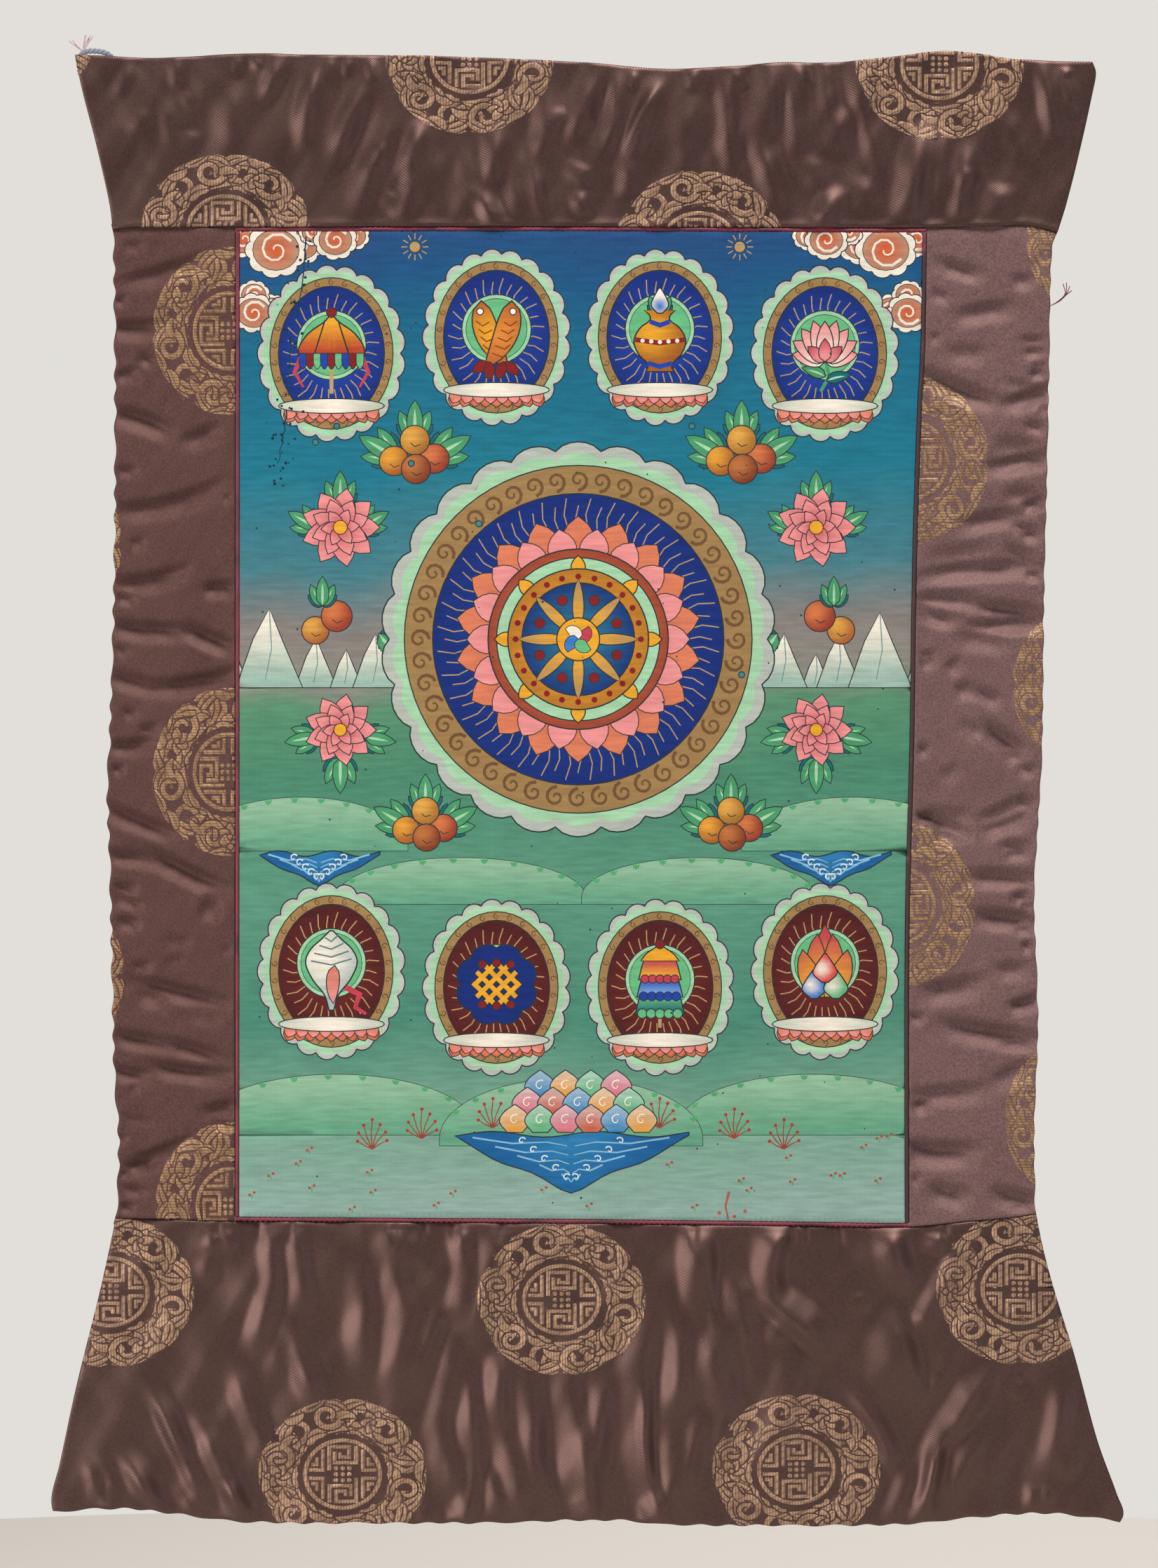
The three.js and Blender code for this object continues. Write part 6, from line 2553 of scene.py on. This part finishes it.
# The same satin turned a quarter, its floats across the light: a paler colour paints in the even sheen that
# it shows, with dark creases
SATIN_PAINTED_SHEEN = Satin("viscose_satin_brown_turned_painted_sheen", "#45302f", "#553d3b", 0.56, 0.5, painted_glint=0.25)
# The right panel's copy, paler still: painted light, for the brighter sheen that falls on that panel
SATIN_PAINTED_LIGHTER = Satin("viscose_satin_brown_painted_lighter", "#5e4848", "#705a5b", 0.56, 0.5, painted_glint=0.25)
SATIN_BACK = Satin("viscose_satin_reverse", "#43322f", "#513d38", 0.7, 0.3)
GOLD_UPRIGHT = BrocadeThread("gold_brocading_upright", "#91745c", "#bd9b7e", "#583d31", Grain.UPRIGHT)
GOLD_LEVEL = BrocadeThread("gold_brocading_level", "#8c6d4f", "#b4916a", "#583d2e", Grain.LEVEL)
CRIMSON = SilkStrip("crimson_silk", "#4c1626", "#7a263c", 0.3)
# The right strip: darker, partly real soiling and partly painted shade where the right panel overlaps it
CRIMSON_SOILED_AND_SHADED = SilkStrip("crimson_silk_soiled_and_shaded", "#371c22", "#762c45", 0.0)
COTTON = Thread("raw_cotton_canvas", "#a99a80", "#c4b79f")
TIE_COTTON = Thread("grey_blue_cotton_cord", "#6d7788", "#8f97a8")
FRAYED_COTTON = Thread("frayed_cotton_fibre", "#a98a8e", "#cdb6b8")
CRIMSON_THREAD = Thread("crimson_sewing_thread", "#4f1219", "#7c2430")

# The corner of another roundel at the panel's top left, and its dark lines. Columns: x, z
CORNER_GOLD = ((-292, 9), (-276.4, 9), (-277.2, 4.6), (-280.2, -1.4), (-284.8, -7.2), (-290, -7.2))
CORNER_LINES = (
    ((-288.4, 5.2), (-279.4, 0.6)), ((-283.6, 5.6), (-278, 2.7)), ((-288.4, 1.8), (-281.4, -2.4)),
    ((-286.9, -2.2), (-282.6, -4.7)),
)

# Middles of the roundels. Columns: x, z
TOP_CENTRES = ((-65.2, 2.0), (199.5, -1.2), (-202.6, -94.4), (64.0, -103.9))
BOTTOM_CENTRES = ((-267.8, -692.4), (-13.4, -696.8), (244.9, -690.9), (-136.7, -795.1), (118.9, -792.4))
LEFT_CENTRES = ((-201.1, -151.3), (-201.1, -399.7), (-199.5, -644.2), (-303.8, -271.8), (-302.2, -514.3))
RIGHT_CENTRES = ((291.1, -98.8), (184.9, -224.0), (283.2, -351.6), (177.4, -474.8), (278.9, -595.7))


def from_west(x: np.ndarray, z: np.ndarray) -> np.ndarray:
    """Distance outwards from the canvas's left edge."""
    return CANVAS_WEST(z) - x


def from_east(x: np.ndarray, z: np.ndarray) -> np.ndarray:
    """Distance outwards from the canvas's right edge."""
    return x - CANVAS_EAST(z)


LEFT_RELIEF, RIGHT_RELIEF = side_relief(LEFT_ALL, from_west), side_relief(RIGHT_ALL, from_east)


def side_panel(name: str, patch: Patch, own: Relief, centres: Sequence[Sequence[float]]) -> BrocadePanel:
    """A side panel, with its ends tucked behind the top and bottom panels.

    Args:
        name: Its name.
        patch: Its outline.
        own: Its relief between the seams.
        centres: Middles of its roundels.

    Returns:
        The panel.
    """
    drop = SATIN_THICK + SEAM_GAP
    upper = tucked(own, top_relief, lambda x, z: z - UPPER_SEAM(x) + SEAM_GAP, drop)
    both = tucked(upper, bottom_relief, lambda x, z: LOWER_SEAM(x) + SEAM_GAP - z, drop)
    return BrocadePanel(name, patch, both, SATIN_THICK, Cut(SIDE_PITCH, down=TUCK_LINES), "satin_brocade",
                        "panel_top", grain=Grain.LEVEL, centres=centres)


def panels() -> list[BrocadePanel]:
    """The four satin panels.

    Returns:
        The panels.
    """
    corner = ((np.array(CORNER_GOLD), True), *((stroke(line, 0.7), False) for line in CORNER_LINES))
    ends = {"north": shifted(UPPER_SEAM, TUCK - SEAM_GAP), "south": shifted(LOWER_SEAM, SEAM_GAP - TUCK)}
    left = Patch(lambda z: LEFT(z) + ripple(z, *PUCKERS), shifted(CANVAS_WEST, -STRIP_REACH), **ends)
    right = Patch(shifted(CANVAS_EAST, STRIP_REACH), lambda z: RIGHT(z) - CALM * ripple(z, *PUCKERS), **ends)
    foot = Patch(LEFT, RIGHT, LOWER_SEAM, lambda x: BOTTOM(x) + ripple(x, *HEM_RIPPLES))
    return [
        BrocadePanel("panel_top", Patch(LEFT, RIGHT, TOP, UPPER_SEAM), top_relief, SATIN_THICK,
                     Cut(TOP_PITCH),
                     "satin_brocade", "painting", centres=TOP_CENTRES, extra=corner),
        BrocadePanel("panel_bottom", foot, bottom_relief, SATIN_THICK, Cut(BOTTOM_PITCH), "satin_brocade",
                     "panel_left", BOTTOM_BACK_PITCH, centres=BOTTOM_CENTRES),
        side_panel("panel_left", left, LEFT_RELIEF, LEFT_CENTRES),
        side_panel("panel_right", right, RIGHT_RELIEF, RIGHT_CENTRES),
    ]


def strips() -> list[CrimsonStrip]:
    """The four crimson strips round the canvas.

    Returns:
        The strips.
    """
    half, outer = STRIP_CUT / 2, STRIP_REACH - END_GAP
    made = []
    sides = (
        ("strip_left", shifted(CANVAS_WEST, -STRIP_MIDDLE), 1, LEFT_RELIEF),
        ("strip_right", shifted(CANVAS_EAST, STRIP_MIDDLE), -1, RIGHT_RELIEF),
    )
    for name, middle, inwards, panel in sides:
        patch = Patch(shifted(middle, -half), shifted(middle, half), CANVAS_PATCH.north, CANVAS_PATCH.south)
        across = (lambda x, z, middle=middle, inwards=inwards: inwards * (x - middle(z)))
        made.append((name, patch, strip_relief(across, panel, 0.0), Cut(STRIP_PITCH, across=STRIP_LINES)))
    levels = (
        ("strip_top", shifted(UPPER_SEAM, -STRIP_MIDDLE), -1, top_relief),
        ("strip_bottom", shifted(LOWER_SEAM, STRIP_MIDDLE), 1, bottom_relief),
    )
    for name, middle, inwards, panel in levels:
        patch = Patch(shifted(CANVAS_WEST, -outer), shifted(CANVAS_EAST, outer), shifted(middle, half),
                      shifted(middle, -half))
        across = (lambda x, z, middle=middle, inwards=inwards: inwards * (z - middle(x)))
        relief = strip_relief(across, panel, STRIP_CLOTH + SEAM_GAP)
        made.append((name, patch, relief, Cut(STRIP_PITCH, down=STRIP_LINES)))
    return [CrimsonStrip(name, patch, relief, STRIP_CLOTH, cut, "crimson_strip", "panel_top", STRIP_PITCH)
            for name, patch, relief, cut in made]


def main() -> None:
    """Builds the hanging, piece by piece, and the studio round it."""
    Studio().build()
    satin = SATIN.material()
    grounds = {"panel_left": SATIN_PAINTED_SHEEN.material(), "panel_right": SATIN_PAINTED_LIGHTER.material()}
    reverse = SATIN_BACK.material()
    threads = {Grain.UPRIGHT: GOLD_UPRIGHT.material(), Grain.LEVEL: GOLD_LEVEL.material()}
    for panel in panels():
        panel.build(grounds.get(panel.name, satin), reverse, threads[panel.grain])
    canvas = PaintedCanvas("painting", CANVAS_PATCH, canvas_relief, CANVAS_THICK, Cut(CANVAS_PITCH),
                           "painted_canvas", "strip_top", CANVAS_BACK_PITCH, shapes=Chart().design())
    canvas.build(Gouache().material(), COTTON.material())
    silk = {"strip_right": CRIMSON_SOILED_AND_SHADED.material()}
    crimson = CRIMSON.material()
    for strip in strips():
        strip.build(silk.get(strip.name, crimson))
    CornerTie().build(TIE_COTTON.material(), FRAYED_COTTON.material())
    LooseThread().build(CRIMSON_THREAD.material())


if __name__ == "__main__":
    logging.basicConfig(level=logging.INFO, format="%(message)s")
    main()
